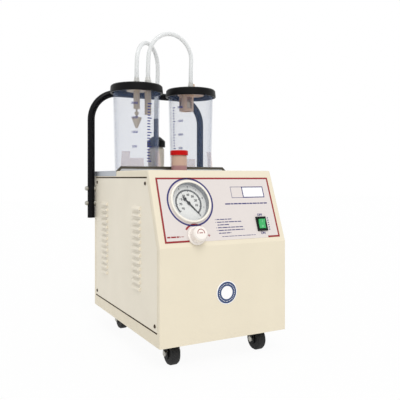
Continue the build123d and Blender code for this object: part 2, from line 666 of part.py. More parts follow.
def stop_band(start, span, height):
    """Part of a conical band round a jar's foot, from a start angle in degrees."""
    lean = (STOP_FOOT_RADIUS - STOP_TOP_RADIUS) / STOP_HEIGHT
    foot, top = STOP_FOOT_RADIUS, STOP_FOOT_RADIUS - lean * height
    profile = make_face(Polyline([
        (foot, 0, TRAY_TOP), (foot + STOP_SHEET, 0, TRAY_TOP),
        (top + STOP_SHEET, 0, TRAY_TOP + height), (top, 0, TRAY_TOP + height)], close=True))
    return Rot(0, 0, start) * revolve(profile, axis=Axis.Z, revolution_arc=span)


def jar_stops():
    """Two moulded stops, one round the right rear of each jar, with a lug at each end."""
    stop = stop_band(0, STOP_SPAN, STOP_BASE_HEIGHT)
    stop += stop_band(0, STOP_SIDE_LUG_SPAN, STOP_HEIGHT)
    stop += stop_band(STOP_SPAN - STOP_BAND_SPAN, STOP_BAND_SPAN, STOP_BAND_HEIGHT)
    stop += stop_band(STOP_SPAN - STOP_REAR_LUG_SPAN, STOP_REAR_LUG_SPAN, STOP_HEIGHT)
    return [Pos(side * JAR_X, JAR_Y, 0) * stop for side in (-1, 1)]


def jar(side):
    """A clear two-litre jar, slightly wider at the rim."""
    foot, rim = JAR_FOOT_RADIUS, JAR_RIM_RADIUS
    inner_foot = foot - JAR_WALL
    shape = turned((0, TRAY_TOP + 1.5), (foot - 8, TRAY_TOP + 1.5), (foot - 6, TRAY_TOP),
                   (foot - 2, TRAY_TOP), (foot - 0.4, TRAY_TOP + 2), (foot, TRAY_TOP + 6),
                   (rim, RIM), (rim - JAR_WALL, RIM), (inner_foot, TRAY_TOP + JAR_FLOOR + 5),
                   (inner_foot - 4, TRAY_TOP + JAR_FLOOR + 1), (0, TRAY_TOP + JAR_FLOOR))
    return Pos(side * JAR_X, JAR_Y, 0) * shape


def lid_seal(side):
    """The flat rubber ring between a jar's rim and its lid."""
    ring = turned((JAR_RIM_RADIUS - JAR_WALL - 2, RIM), (JAR_RIM_RADIUS, RIM),
                  (JAR_RIM_RADIUS, LID_UNDERSIDE), (JAR_RIM_RADIUS - JAR_WALL - 2, LID_UNDERSIDE))
    return Pos(side * JAR_X, JAR_Y, 0) * ring


def lid(side, ports):
    """A black lid with a skirt round the jar's rim and holes for its ports."""
    low = LID_UNDERSIDE - LID_SKIRT
    bore = LID_RADIUS - LID_WALL
    shape = turned((0, LID_UNDERSIDE), (bore, LID_UNDERSIDE), (bore, low),
                   (LID_RADIUS - 1, low), (LID_RADIUS, low + 1.5),
                   (LID_TOP_RADIUS, LID_TOP - 3), (LID_TOP_RADIUS - 3, LID_TOP), (0, LID_TOP))
    for x, y, radius in ports:
        shape -= Pos(x, y, LID_UNDERSIDE) * Cylinder(radius, 4 * LID_PLATE)
    return Pos(side * JAR_X, JAR_Y, 0) * shape


def nipple(x, y, radius, flange, height):
    """A hose port that stands on the lid, with its flange and its stem through it."""
    port = turned((0, LID_UNDERSIDE - 0.01), (radius, LID_UNDERSIDE - 0.01), (radius, LID_TOP),
                  (flange, LID_TOP), (flange, LID_TOP + 3), (radius, LID_TOP + 3),
                  (radius, LID_TOP + height), (0, LID_TOP + height))
    return Pos(x, y, 0) * port


def left_fittings():
    """Left lid: both hose ports, the beige insert and the float's valve stem."""
    disc_low = LID_UNDERSIDE - INSERT_THICKNESS
    stem_low = LID_UNDERSIDE - LEFT_STEM
    seat = stem_low + 13
    body = Pos(0, 0, disc_low) * Cylinder(
        LEFT_INSERT_RADIUS, INSERT_THICKNESS, align=(Align.CENTER, Align.CENTER, Align.MIN))
    body += rod(STEM_RADIUS, (0, 0, stem_low), (0, 0, disc_low))
    body += rod(STEM_RADIUS + 0.5, (PORT_B_OFFSET, 0, disc_low - LEFT_DIP),
                (PORT_B_OFFSET, 0, LID_UNDERSIDE))
    body += nipple(0, 0, NIPPLE_RADIUS + 1.5, 11, NIPPLE_HEIGHT)
    body += nipple(PORT_B_OFFSET, 0, NIPPLE_RADIUS + 1.5, 10, NIPPLE_HEIGHT)
    body += Pos(PORT_B_OFFSET / 2, 0, disc_low + 2) * Box(PORT_B_OFFSET, 12, 4)
    body -= rod(STEM_BORE, (0, 0, stem_low + 3), (0, 0, seat))
    body -= rod(NIPPLE_RADIUS, (0, 0, seat - 1), (0, 0, LID_UNDERSIDE - 1))
    body -= rod(3.2, (0, 0, stem_low - 1), (0, 0, stem_low + 4))
    body -= Pos(0, 0, stem_low + 8) * Box(4 * STEM_RADIUS, 5, 8)
    float_low = LID_UNDERSIDE - 100
    cone = turned((0, float_low), (3, float_low), (12.5, float_low + 24), (12.5, float_low + 27),
                  (2.2, float_low + 30), (2.2, stem_low - 18), (5.5, stem_low - 12),
                  (5.5, stem_low - 8), (2.2, stem_low - 7), (2.2, stem_low + 3 + FIT),
                  (5.5, stem_low + 3 + FIT), (5.5, seat - FLOAT_TRAVEL - FIT),
                  (0, seat - FLOAT_TRAVEL - FIT))
    place = Pos(-JAR_X, JAR_Y, 0)
    return {"lid_fittings_left": place * body, "float_left": place * cone}


def right_fittings():
    """Right lid: the link port, the patient port, the insert and the float cage."""
    disc_low = LID_UNDERSIDE - INSERT_THICKNESS
    cage_low = disc_low - CAGE_DEPTH
    inner = CAGE_RADIUS - CAGE_WALL
    body = Pos(0, 0, disc_low) * Cylinder(
        RIGHT_INSERT_RADIUS, INSERT_THICKNESS, align=(Align.CENTER, Align.CENTER, Align.MIN))
    cage = turned((inner - 4, cage_low), (CAGE_RADIUS, cage_low), (CAGE_RADIUS, disc_low + 0.01),
                  (inner, disc_low + 0.01), (inner, cage_low + 3), (inner - 4, cage_low + 3))
    for turn in (0, 90):
        cage -= Pos(0, 0, cage_low + CAGE_DEPTH / 2) * Rot(0, 0, turn) * Box(
            3 * CAGE_RADIUS, 14, CAGE_DEPTH - 14)
    body += Pos(CAGE_OFFSET, 0, 0) * cage
    body += nipple(0, 0, NIPPLE_RADIUS + 1.5, 10, NIPPLE_HEIGHT)
    body += nipple(PATIENT_PORT_X, PATIENT_PORT_Y, PATIENT_PORT_RADIUS, 10,
                   PATIENT_PORT_HEIGHT + 3)
    ball_low = cage_low + 3 + FIT
    bobbin = turned((0, ball_low), (13, ball_low), (14.5, ball_low + 3), (14.5, ball_low + 20),
                    (10, ball_low + 25), (0, ball_low + 26))
    place = Pos(JAR_X, JAR_Y, 0)
    return {"lid_fittings_right": place * body,
            "float_right": place * Pos(CAGE_OFFSET, 0, 0) * bobbin}


def trap():
    """Filter trap: a beige bottle on the bulkhead, and its black cap with the spout."""
    foot = TRAY_TOP
    neck = TRAP_NECK_RADIUS
    neck_top = TRAP_CAP_BOTTOM + TRAP_NECK
    wall = TRAP_WALL
    drain = TRAP_DRAIN_RADIUS
    drain_low = CABINET_TOP - TRAP_DRAIN
    bottle = turned((drain - 1.5, drain_low), (drain, drain_low), (drain, foot),
                    (TRAP_RADIUS, foot), (TRAP_RADIUS, TRAP_CAP_BOTTOM - 6),
                    (neck, TRAP_CAP_BOTTOM - 1), (neck, neck_top), (neck - wall, neck_top),
                    (neck - wall, TRAP_CAP_BOTTOM - 2), (TRAP_RADIUS - wall, TRAP_CAP_BOTTOM - 7),
                    (TRAP_RADIUS - wall, foot + wall), (drain - 1.5, foot + wall))
    cap = turned((neck + 0.1, TRAP_CAP_BOTTOM), (TRAP_CAP_RADIUS, TRAP_CAP_BOTTOM),
                 (TRAP_CAP_RADIUS, neck_top + 4), (TRAP_SPOUT_RADIUS + 4, TRAP_CAP_TOP),
                 (TRAP_SPOUT_RADIUS, TRAP_CAP_TOP), (TRAP_SPOUT_RADIUS, TRAP_CAP_TOP + 14),
                 (TRAP_SPOUT_RADIUS - 1.3, TRAP_CAP_TOP + 16),
                 (TRAP_SPOUT_RADIUS - 1.3, TRAP_SPOUT_TOP), (TRAP_SPOUT_BORE, TRAP_SPOUT_TOP),
                 (TRAP_SPOUT_BORE, TRAP_CAP_BOTTOM - TRAP_DIP),
                 (TRAP_SPOUT_BORE + 1.5, TRAP_CAP_BOTTOM - TRAP_DIP),
                 (TRAP_SPOUT_BORE + 1.5, neck_top), (neck + 0.1, neck_top))
    place = Pos(0, TRAP_Y, 0)
    return {"trap_bottle": place * bottle, "trap_cap": place * cap}


def pot():
    """Small translucent pot and its red screw cap."""
    low = CABINET_TOP
    top = low + POT_HEIGHT
    neck = POT_RADIUS - 1.3
    thread_low = top - POT_CAP_HEIGHT + POT_CAP_TOP + 1
    body = turned((0, low), (POT_RADIUS - 1.5, low), (POT_RADIUS, low + 1.5),
                  (POT_RADIUS, thread_low - 2), (neck, thread_low - 1), (neck, top),
                  (neck - POT_WALL, top), (neck - POT_WALL, thread_low - 2),
                  (POT_RADIUS - POT_WALL, thread_low - 3), (POT_RADIUS - POT_WALL, low + POT_WALL),
                  (0, low + POT_WALL))
    cap_low = top - POT_CAP_HEIGHT + POT_CAP_TOP
    cap_top = top + POT_CAP_TOP
    cap = turned((neck + 0.4, cap_low + 1), (POT_CAP_RADIUS, cap_low + 1),
                 (POT_CAP_RADIUS, cap_top - 2), (POT_CAP_RADIUS - 2, cap_top), (0, cap_top),
                 (0, top), (neck + 0.4, top))
    place = Pos(0, POT_Y, 0)
    return {"pot_body": place * body, "pot_cap": place * cap}


def pump_set():
    """Motor with its rotor and fan, crankcase with cylinder and finned head, mounts."""
    centre = Vector(0, MOTOR_Y, MOTOR_AXIS)
    rear = MOTOR_LENGTH
    bore = SHAFT_RADIUS + RUNNING_FIT
    inner = MOTOR_RADIUS - MOTOR_WALL
    gap = 1.0
    along = Plane(origin=centre, x_dir=(1, 0, 0), z_dir=(0, 1, 0))
    shell = turned((bore, 0), (MOTOR_RADIUS - 6, 0), (MOTOR_RADIUS, 6), (MOTOR_RADIUS, rear - 6),
                   (MOTOR_RADIUS - 6, rear), (bore, rear), (bore, rear - 10), (inner, rear - 10),
                   (inner, rear - 24), (ROTOR_RADIUS + gap, rear - 24), (ROTOR_RADIUS + gap, 24),
                   (inner, 24), (inner, 10), (bore, 10))
    motor = along * shell
    foot_low = BASE_TOP + MOUNT_HEIGHT
    saddle = block(-30, 30, MOTOR_Y + 20, MOTOR_Y + rear - 20, foot_low + 8, MOTOR_AXIS - inner)
    motor += saddle - rod(inner, (0, MOTOR_Y, MOTOR_AXIS), (0, MOTOR_Y + rear, MOTOR_AXIS))
    fan_start = rear + 6
    shaft = turned((0, -CRANKCASE_LENGTH / 2), (SHAFT_RADIUS, -CRANKCASE_LENGTH / 2),
                   (SHAFT_RADIUS, 26), (ROTOR_RADIUS, 26), (ROTOR_RADIUS, rear - 26),
                   (SHAFT_RADIUS, rear - 26), (SHAFT_RADIUS, fan_start + FAN_WIDTH),
                   (0, fan_start + FAN_WIDTH))
    hub = turned((SHAFT_RADIUS, fan_start), (16, fan_start), (16, fan_start + FAN_WIDTH),
                 (SHAFT_RADIUS, fan_start + FAN_WIDTH))
    blade = Pos(FAN_RADIUS / 2 + 6, 0, fan_start + FAN_WIDTH / 2) * Rot(35, 0, 0) * Box(
        FAN_RADIUS - 12, 2, FAN_WIDTH)
    fan = hub
    for i in range(FAN_BLADES):
        fan += Rot(0, 0, i * 360 / FAN_BLADES) * blade
    fan -= Pos(0, 0, fan_start) * Cylinder(SHAFT_RADIUS, 4 * FAN_WIDTH)
    crank_front = MOTOR_Y - CRANKCASE_LENGTH
    half = CRANKCASE_WIDTH / 2
    case = block(-half, half, crank_front, MOTOR_Y, MOTOR_AXIS - half, MOTOR_AXIS + half)
    case = fillet(case.edges().filter_by(Axis.Y), 14)
    crank_middle = MOTOR_Y - CRANKCASE_LENGTH / 2
    case += rod(CYLINDER_RADIUS, (0, crank_middle, MOTOR_AXIS), (0, crank_middle, CYLINDER_TOP))
    case += block(-half + 6, half - 6, crank_front, MOTOR_Y, foot_low + 8, MOTOR_AXIS)
    case -= rod(bore, (0, crank_middle - 1, MOTOR_AXIS), (0, MOTOR_Y + 1, MOTOR_AXIS))
    out = HEAD_WIDTH / 2
    head = block(-out, out, crank_middle - out, crank_middle + out, CYLINDER_TOP,
                 CYLINDER_TOP + HEAD_HEIGHT)
    for i in range(HEAD_FINS - 1):
        x = (i + 1) * HEAD_WIDTH / HEAD_FINS - out
        head -= block(x - HEAD_SLOT / 2, x + HEAD_SLOT / 2, crank_middle - out - 1,
                      crank_middle + out + 1, CYLINDER_TOP + HEAD_PLATE,
                      CYLINDER_TOP + HEAD_HEIGHT + 1)
    for side in (-1, 1):
        head += rod(INNER_HOSE / 2, (side * (out - 1), crank_middle, HOSE_PORT),
                    (side * (out + HEAD_PORT), crank_middle, HOSE_PORT))
    foot = block(-MOTOR_RADIUS, MOTOR_RADIUS, crank_front, MOTOR_Y + rear, foot_low, foot_low + 8)
    mount = turned((0, BASE_TOP), (MOUNT_RADIUS, BASE_TOP),
                   (MOUNT_WAIST, BASE_TOP + MOUNT_HEIGHT / 2), (MOUNT_RADIUS, foot_low),
                   (0, foot_low))
    mounts = []
    for x in (-MOUNT_SPACING / 2, MOUNT_SPACING / 2):
        for y in (crank_front + MOUNT_INSET, MOTOR_Y + rear - MOUNT_INSET):
            mounts.append(Pos(x, y, 0) * mount)
    return {
        "motor_housing": motor, "motor_rotor": along * shaft, "cooling_fan": along * fan,
        "pump_crankcase": case, "pump_head": head, "pump_frame": foot,
        "pump_mounts": Compound(children=mounts),
    }


def power_inlet():
    """Appliance inlet in the rear panel, with a fuse drawer below its socket."""
    x, z = INLET_X, REAR_FITTINGS_HEIGHT
    wide, high = INLET_WIDTH / 2, INLET_HEIGHT / 2
    outer = BACK + INLET_FLANGE
    inlet = block(x - wide - 5, x + wide + 5, BACK, outer, z - high - 3, z + high + 3)
    inlet = fillet(inlet.edges().filter_by(Axis.Y), 3)
    inlet += block(x - wide, x + wide, BACK - INLET_DEPTH, BACK, z - high, z + high)
    socket_low = z - 5
    inlet -= block(x - 12, x + 12, BACK - 17, outer + 1, socket_low, socket_low + 17)
    for pin in (-7, 0, 7):
        rise = 4 if pin == 0 else 0
        inlet += block(x + pin - 1, x + pin + 1, BACK - 18, BACK - 1, socket_low + 5 + rise,
                       socket_low + 9 + rise)
    drawer_low = z - high + 4
    slot = DRAWER_HEIGHT + 2 * FIT
    inlet -= block(x - DRAWER_WIDTH / 2 - FIT, x + DRAWER_WIDTH / 2 + FIT, BACK - 21, outer + 1,
                   drawer_low - FIT, drawer_low - FIT + slot)
    drawer = block(x - DRAWER_WIDTH / 2, x + DRAWER_WIDTH / 2, BACK - 20, outer + 1,
                   drawer_low, drawer_low + DRAWER_HEIGHT)
    drawer -= block(x - DRAWER_WIDTH / 2 + 2, x + DRAWER_WIDTH / 2 - 2, BACK - 18, BACK - 2,
                    drawer_low + 3, drawer_low + DRAWER_HEIGHT + 1)
    return {"power_inlet": inlet, "fuse_drawer": drawer}


def exhaust_silencer():
    """Sintered silencer screwed through the rear panel."""
    shape = turned((2.5, -16), (SILENCER_RADIUS * 0.7, -16), (SILENCER_RADIUS * 0.7, 0),
                   (SILENCER_RADIUS, 0), (SILENCER_RADIUS, 5), (SILENCER_RADIUS * 0.75, 6),
                   (SILENCER_RADIUS * 0.75, SILENCER_PROUD - 2),
                   (SILENCER_RADIUS * 0.55, SILENCER_PROUD), (2.5, SILENCER_PROUD))
    return Plane(origin=(SILENCER_X, BACK, REAR_FITTINGS_HEIGHT), z_dir=(0, 1, 0)) * shape


def link_hose():
    """From the left jar's second port over to the right jar."""
    start = -JAR_X + PORT_B_OFFSET
    route = [(start, PORT_TOP), (start, 680), (-43, 721), (-21, 755), (17.5, 770),
             (56.5, 756), (80, 721), (JAR_X, 680), (JAR_X, PORT_TOP)]
    return hose([(x, JAR_Y, z) for x, z in route], JAR_HOSE, "tube_link")


def trap_hose():
    """From the left jar's middle port, over and down between the lids to the trap."""
    run = Vector(JAR_X, TRAP_Y - JAR_Y)
    way = run.normalized()
    route = [(0, PORT_TOP), (0, 672), (2, 706), (21, 734), (51, 745), (82, 735), (102, 708),
             (104, 675), (101, 636), (run.length, TRAP_SPOUT_TOP + 45), (run.length, TRAP_SPOUT_TOP)]
    return hose([(-JAR_X + way.X * along, JAR_Y + way.Y * along, z) for along, z in route],
                JAR_HOSE, "tube_trap")


def inner_hoses():
    """Suction and exhaust hoses inside the cabinet."""
    crank = MOTOR_Y - CRANKCASE_LENGTH / 2
    port = HOSE_PORT
    reach = HEAD_WIDTH / 2 + HEAD_PORT
    suction = [(-reach, crank, port), (-reach - 28, crank, port), (-100, crank + 32, port + 14),
               (-96, crank + 78, port + 34), (-72, crank + 130, port + 42),
               (-38, crank + 180, port + 44), (-8, TRAP_Y - 18, port + 60),
               (0, TRAP_Y, CABINET_TOP - TRAP_DRAIN - 16),
               (0, TRAP_Y, CABINET_TOP - TRAP_DRAIN)]
    silencer = BACK - 16
    exhaust = [(reach, crank, port), (reach + 30, crank, port), (106, crank + 34, port - 8),
               (112, crank + 84, port - 38), (108, crank + 138, port - 84),
               (92, crank + 190, port - 124), (SILENCER_X, silencer - 40, REAR_FITTINGS_HEIGHT),
               (SILENCER_X, silencer, REAR_FITTINGS_HEIGHT)]
    return Compound(children=[hose(suction, INNER_HOSE, "suction"),
                              hose(exhaust, INNER_HOSE, "exhaust")])


def screws():
    """The screws of the side covers and the rear panel."""
    placed = []
    for side in (-1, 1):
        for y, z in cover_screw_places():
            placed.append(pan_screw((side * SIDE, y, z), (-side, 0, 0)))
    for x, z in rear_screw_places():
        placed.append(pan_screw((x, BACK, z), (0, -1, 0)))
    return Compound(children=placed)


def main():
    pieces = {
        "cabinet_shell": finish_shell(cabinet_shell()),
        "side_cover_left": side_cover(-1),
        "side_cover_right": side_cover(1),
        "rear_panel": rear_panel(),
        "cover_screws": screws(),
        "base_plate": base_plate(),
        "control_panel": control_panel(),
        "jar_tray": jar_tray(),
        "jar_stops": Compound(children=jar_stops()),
        "exhaust_silencer": exhaust_silencer(),
        "inner_hoses": inner_hoses(),
        "tube_link": link_hose(),
        "tube_trap": trap_hose(),
        "lid_left": lid(-1, [(0, 0, NIPPLE_RADIUS + 1.5), (PORT_B_OFFSET, 0, NIPPLE_RADIUS + 1.5)]),
        "lid_right": lid(1, [(0, 0, NIPPLE_RADIUS + 1.5),
                             (PATIENT_PORT_X, PATIENT_PORT_Y, PATIENT_PORT_RADIUS)]),
    }
    for group in (gauge(), regulator(), power_switch(), handle(), left_fittings(),
                  right_fittings(), trap(), pot(), pump_set(), power_inlet()):
        pieces.update(group)
    for name, side in (("left", -1), ("right", 1)):
        pieces[f"jar_{name}"] = jar(side)
        pieces[f"lid_seal_{name}"] = lid_seal(side)
    plates = []
    for corner, side, depth in (("front_left", -1, CASTOR_FRONT), ("front_right", 1, CASTOR_FRONT),
                                ("rear_left", -1, CASTOR_REAR), ("rear_right", 1, CASTOR_REAR)):
        plate, fork, axle, wheel = castor(side, depth)
        plates.append(plate)
        pieces[f"castor_fork_{corner}"] = fork
        pieces[f"castor_axle_{corner}"] = axle
        pieces[f"castor_wheel_{corner}"] = wheel
    pieces["castor_plates"] = Compound(children=plates)
    for node, shape in pieces.items():
        save(shape, node)


main()
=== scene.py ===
# %% [markdown]
# This lesson dresses a vacuum aspirator: a cream steel cabinet on castors that carries a gauge,
# two clear jars and their hoses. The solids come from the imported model, at their real size and
# place. Blender adds finish: rounded edges, printed scales, clear plastic, brushed steel and soft
# hoses.

# %% Load the fixed frame
import json
import math

import bmesh
import bpy
from mathutils import Matrix, Vector

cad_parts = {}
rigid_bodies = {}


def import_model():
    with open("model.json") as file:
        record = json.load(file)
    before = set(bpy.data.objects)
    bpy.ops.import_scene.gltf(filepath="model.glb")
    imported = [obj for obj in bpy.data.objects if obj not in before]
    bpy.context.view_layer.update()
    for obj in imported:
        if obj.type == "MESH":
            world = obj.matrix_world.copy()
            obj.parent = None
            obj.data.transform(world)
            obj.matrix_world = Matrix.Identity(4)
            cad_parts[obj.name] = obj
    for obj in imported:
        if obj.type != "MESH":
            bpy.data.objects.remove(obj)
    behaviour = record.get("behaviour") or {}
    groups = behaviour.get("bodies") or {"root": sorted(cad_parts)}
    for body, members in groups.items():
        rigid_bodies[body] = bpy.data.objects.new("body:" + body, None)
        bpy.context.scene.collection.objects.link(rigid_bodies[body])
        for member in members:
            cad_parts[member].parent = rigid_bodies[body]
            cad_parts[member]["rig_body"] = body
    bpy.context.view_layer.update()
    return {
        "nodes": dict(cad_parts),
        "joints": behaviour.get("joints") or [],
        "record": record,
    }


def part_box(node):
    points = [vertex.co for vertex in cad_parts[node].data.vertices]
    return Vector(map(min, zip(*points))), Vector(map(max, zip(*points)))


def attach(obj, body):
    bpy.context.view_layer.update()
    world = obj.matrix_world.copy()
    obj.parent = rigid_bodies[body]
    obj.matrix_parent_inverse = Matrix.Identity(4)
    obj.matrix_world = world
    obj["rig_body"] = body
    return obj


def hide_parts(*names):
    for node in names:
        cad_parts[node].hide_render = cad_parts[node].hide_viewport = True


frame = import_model()
joints = {joint["name"]: joint for joint in frame["joints"]}
MM = 0.001
cabinet_low, cabinet_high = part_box("cabinet_shell")
print("the cabinet is", [round(v, 4) for v in cabinet_high - cabinet_low], "metres")

# %% [markdown]
# A product photograph is taken level, from a tripod at about the height of the thing. A level
# camera keeps upright edges parallel, and the lens is shifted down instead of tilted to show the
# castors.

# %% Camera
EYE_LEFT_OF_CABINET = 0.4140
EYE_BEFORE_CABINET = 0.9465
EYE_HEIGHT = 0.3864
EYE_TURN = math.radians(-28.0)
LENS_LENGTH = 47.4
LENS_SHIFT = -0.055

camera_data = bpy.data.cameras.new("camera")
camera_data.lens = LENS_LENGTH
camera_data.shift_y = LENS_SHIFT
camera = bpy.data.objects.new("camera", camera_data)
camera.location = (cabinet_low.x - EYE_LEFT_OF_CABINET, cabinet_low.y - EYE_BEFORE_CABINET,
                   EYE_HEIGHT)
camera.rotation_euler = (math.radians(90), 0, EYE_TURN)
bpy.context.scene.collection.objects.link(camera)
bpy.context.scene.camera = camera
bpy.context.scene.view_settings.view_transform = "Standard"
print("the camera stands at", [round(v, 3) for v in camera.location])

# %% [markdown]
# Finishes are networks of nodes. Written as Python sums they read like ordinary arithmetic, so
# one small class wraps a socket and turns + and * into Math nodes.

# %% A socket that can do sums
class Signal:
    """One output socket of a finish, usable in arithmetic."""

    def __init__(self, finish, socket):
        self.finish = finish
        self.socket = socket

    def _sum(self, operation, first, second):
        return self.finish.node("ShaderNodeMath", {"operation": operation},
                                {0: first, 1: second})

    def __add__(self, other):
        return self._sum("ADD", self, other)

    def __radd__(self, other):
        return self._sum("ADD", other, self)

    def __mul__(self, other):
        return self._sum("MULTIPLY", self, other)

    def __rmul__(self, other):
        return self._sum("MULTIPLY", other, self)


class Finish:
    """A material or sky that is being built, with one method for every kind of node."""

    def __init__(self, name, owner=None, output="ShaderNodeOutputMaterial"):
        self.owner = owner or bpy.data.materials.new(name)
        self.owner.use_nodes = True
        self.tree = self.owner.node_tree
        self.tree.nodes.clear()
        self.output = self.tree.nodes.new(output)

    def node(self, kind, settings=None, sockets=None, output=0):
        """Any node: its settings by name, its sockets by name or number."""
        made = self.tree.nodes.new(kind)
        for key, value in (settings or {}).items():
            setattr(made, key, value)
        for key, value in (sockets or {}).items():
            if isinstance(value, Signal):
                self.tree.links.new(value.socket, made.inputs[key])
            else:
                made.inputs[key].default_value = value
        return Signal(self, made.outputs[output])

    def place(self, scale=(1, 1, 1)):
        """Object coordinates in metres, stretched by a scale."""
        raw = self.node("ShaderNodeTexCoord", output=3)
        return self.node("ShaderNodeMapping", {}, {"Vector": raw, "Scale": scale})

    def noise(self, scale, detail=3.0, stretch=(1, 1, 1)):
        """A cloudy value of about a half; a larger scale gives finer clouds."""
        return self.node("ShaderNodeTexNoise", {},
                         {"Vector": self.place(stretch), "Scale": scale, "Detail": detail})

    def mix(self, share, first, second):
        """A colour between two others."""
        return self.node("ShaderNodeMix", {"data_type": "RGBA"},
                         {0: share, 6: first, 7: second}, output=2)

    def bump(self, height, depth):
        """A normal that is tipped by a height, at most a depth in metres."""
        return self.node("ShaderNodeBump", {}, {"Height": height, "Distance": depth})

    def show(self, shader):
        """Make a shader the one that is seen."""
        self.tree.links.new(shader.socket, self.output.inputs["Surface"])
        return self.owner

    def surface(self, **sockets):
        return self.show(self.node(
            "ShaderNodeBsdfPrincipled", {},
            {name.replace("_", " "): value for name, value in sockets.items()}))


def linear(red, green, blue):
    """A colour picked on screen, as the renderer's own linear light."""
    def part(value):
        value /= 255
        return value / 12.92 if value <= 0.04045 else ((value + 0.055) / 1.055) ** 2.4
    return (part(red), part(green), part(blue), 1.0)


print("half grey on screen is", round(linear(128, 128, 128)[0], 3), "in linear light")

# %% [markdown]
# The cabinet is powder coated: a satin skin with a fine orange peel, a hair lighter and darker in
# places. The peel is two sizes of noise in the bump, and the colour moves by a few percent only.

# %% Powder coat and paint
def powder_coat(name, colour, peel=0.00004, gloss=0.38, shine=0.45):
    finish = Finish(name)
    cloud = finish.noise(14.0, 2.0)
    peel_height = finish.noise(900.0, 2.0) + finish.noise(2600.0, 1.0) * 0.4
    darker = tuple(c * 0.93 for c in colour[:3]) + (1.0,)
    return finish.surface(
        Base_Color=finish.mix(cloud, colour, darker),
        Roughness=gloss + cloud * 0.12,
        Normal=finish.bump(peel_height, peel),
        Specular_IOR_Level=shine)


cream = powder_coat("cream_powder_coat", linear(233, 223, 200))
cream_side = powder_coat("cream_cover", linear(238, 230, 212))
black_paint = powder_coat("black_satin_paint", linear(5, 5, 9), 0.00003, 0.36, 0.14)
castor_paint = powder_coat("castor_black", linear(10, 10, 11), 0.00003, 0.42, 0.18)
print("paints:", cream.name, cream_side.name, black_paint.name, castor_paint.name)

# %% [markdown]
# Moulded plastic is even in colour, so what gives it away is the soft, slightly uneven shine.
# Rubber has less shine still, and dust on it. One function makes all of them, with dust for
# rubber and a clear coat for the glossiest plastics.

# %% Moulded plastic and rubber
def moulded(name, colour, gloss=0.35, texture=0.00002, grain=1200.0, dust=0.0, coat=0.0,
            shine=0.5):
    finish = Finish(name)
    cloud = finish.noise(30.0, 3.0)
    dusty = tuple(min(1.0, c + 0.08) for c in colour[:3]) + (1.0,)
    speck = finish.noise(300.0, 4.0)
    return finish.surface(
        Base_Color=finish.mix(cloud * dust, colour, dusty),
        Roughness=gloss + speck * 0.12,
        Normal=finish.bump(finish.noise(grain, 2.0), texture),
        Coat_Weight=coat, Specular_IOR_Level=shine)


black_plastic = moulded("black_moulded_plastic", linear(6, 6, 7), 0.36, shine=0.14)
switch_black = moulded("switch_black", linear(6, 16, 11), 0.35, shine=0.2)
beige_plastic = moulded("beige_fittings", linear(204, 188, 164), 0.4)
peach_plastic = moulded("peach_fittings", linear(214, 182, 154), 0.4)
float_plastic = moulded("float_plastic", linear(205, 192, 170), 0.35)
red_plastic = moulded("red_cap_plastic", linear(190, 0, 2), 0.38, shine=0.16)
knob_plastic = moulded("knob_plastic", linear(243, 236, 229), 0.28, coat=0.2)
bezel_plastic = moulded("bezel_plastic", linear(243, 238, 226), 0.25, coat=0.2)
sleeve_grey = moulded("gauge_sleeve_grey", linear(150, 152, 156), 0.5)
tyre_rubber = moulded("castor_tyre", linear(30, 30, 30), 0.6, 0.00006, 700.0, dust=0.12,
                      shine=0.3)
# This dark finish is painted shade: it darkens the band on the tray's lip, whose underside is in
# shade.
painted_lip_shade = moulded("painted_lip_shade", linear(60, 55, 44), 0.55, dust=0.4)
# This dark finish is painted shade, laid in the gaps round the side covers.
painted_gap_shade = moulded("painted_gap_shade", linear(58, 44, 30), 0.8, shine=0.1)
black_rubber = moulded("black_rubber", linear(28, 28, 28), 0.6, dust=0.3)
green_lens = moulded("green_lens", linear(40, 172, 92), 0.22, coat=0.5)
inner_hose_rubber = moulded("inner_hose_rubber", linear(150, 140, 120), 0.5)
print("a moulded finish has", len(black_plastic.node_tree.nodes), "nodes")

# %% [markdown]
# Brushed steel shines along its scratches. Noise that is squeezed across and drawn out along the
# grain gives both the streaks of colour and the fine grooves.

# %% Metals
def brushed(name, colour, gloss=0.3, stretch=(4, 160, 160)):
    finish = Finish(name)
    streak = finish.noise(10.0, 4.0, stretch=stretch)
    darker = tuple(c * 0.8 for c in colour[:3]) + (1.0,)
    return finish.surface(
        Base_Color=finish.mix(streak, colour, darker), Metallic=1.0,
        Roughness=gloss + streak * 0.15, Normal=finish.bump(streak, 0.00002))


def cast_metal(name, colour, gloss=0.5):
    finish = Finish(name)
    grain = finish.noise(450.0, 5.0)
    darker = tuple(c * 0.75 for c in colour[:3]) + (1.0,)
    return finish.surface(
        Base_Color=finish.mix(grain, colour, darker), Metallic=1.0,
        Roughness=gloss, Normal=finish.bump(grain, 0.00012))


stainless = brushed("stainless_tray", linear(204, 208, 214), 0.45)
zinc = brushed("zinc_plate", linear(190, 188, 180), 0.32, (60, 60, 60))
browned = brushed("browned_screw", linear(82, 70, 58), 0.45, (60, 60, 60))
brass = brushed("turned_brass", linear(190, 160, 95), 0.3, (200, 200, 20))
bronze = cast_metal("sintered_bronze", linear(165, 125, 75), 0.6)
cast_alloy = cast_metal("cast_alloy", linear(168, 170, 172))
print("metals:", *(m.name for m in (stainless, zinc, browned, brass, bronze, cast_alloy)))

# %% [markdown]
# Clear plastic shows most where it is seen edge-on. So the finish lets most of the view through,
# more face-on than along the wall: the share shown comes from how much the surface turns away.
# What stands inside a jar is lit through it. The milky stops also carry a faint glow, which is
# painted light: it brightens them where the jars shade them.

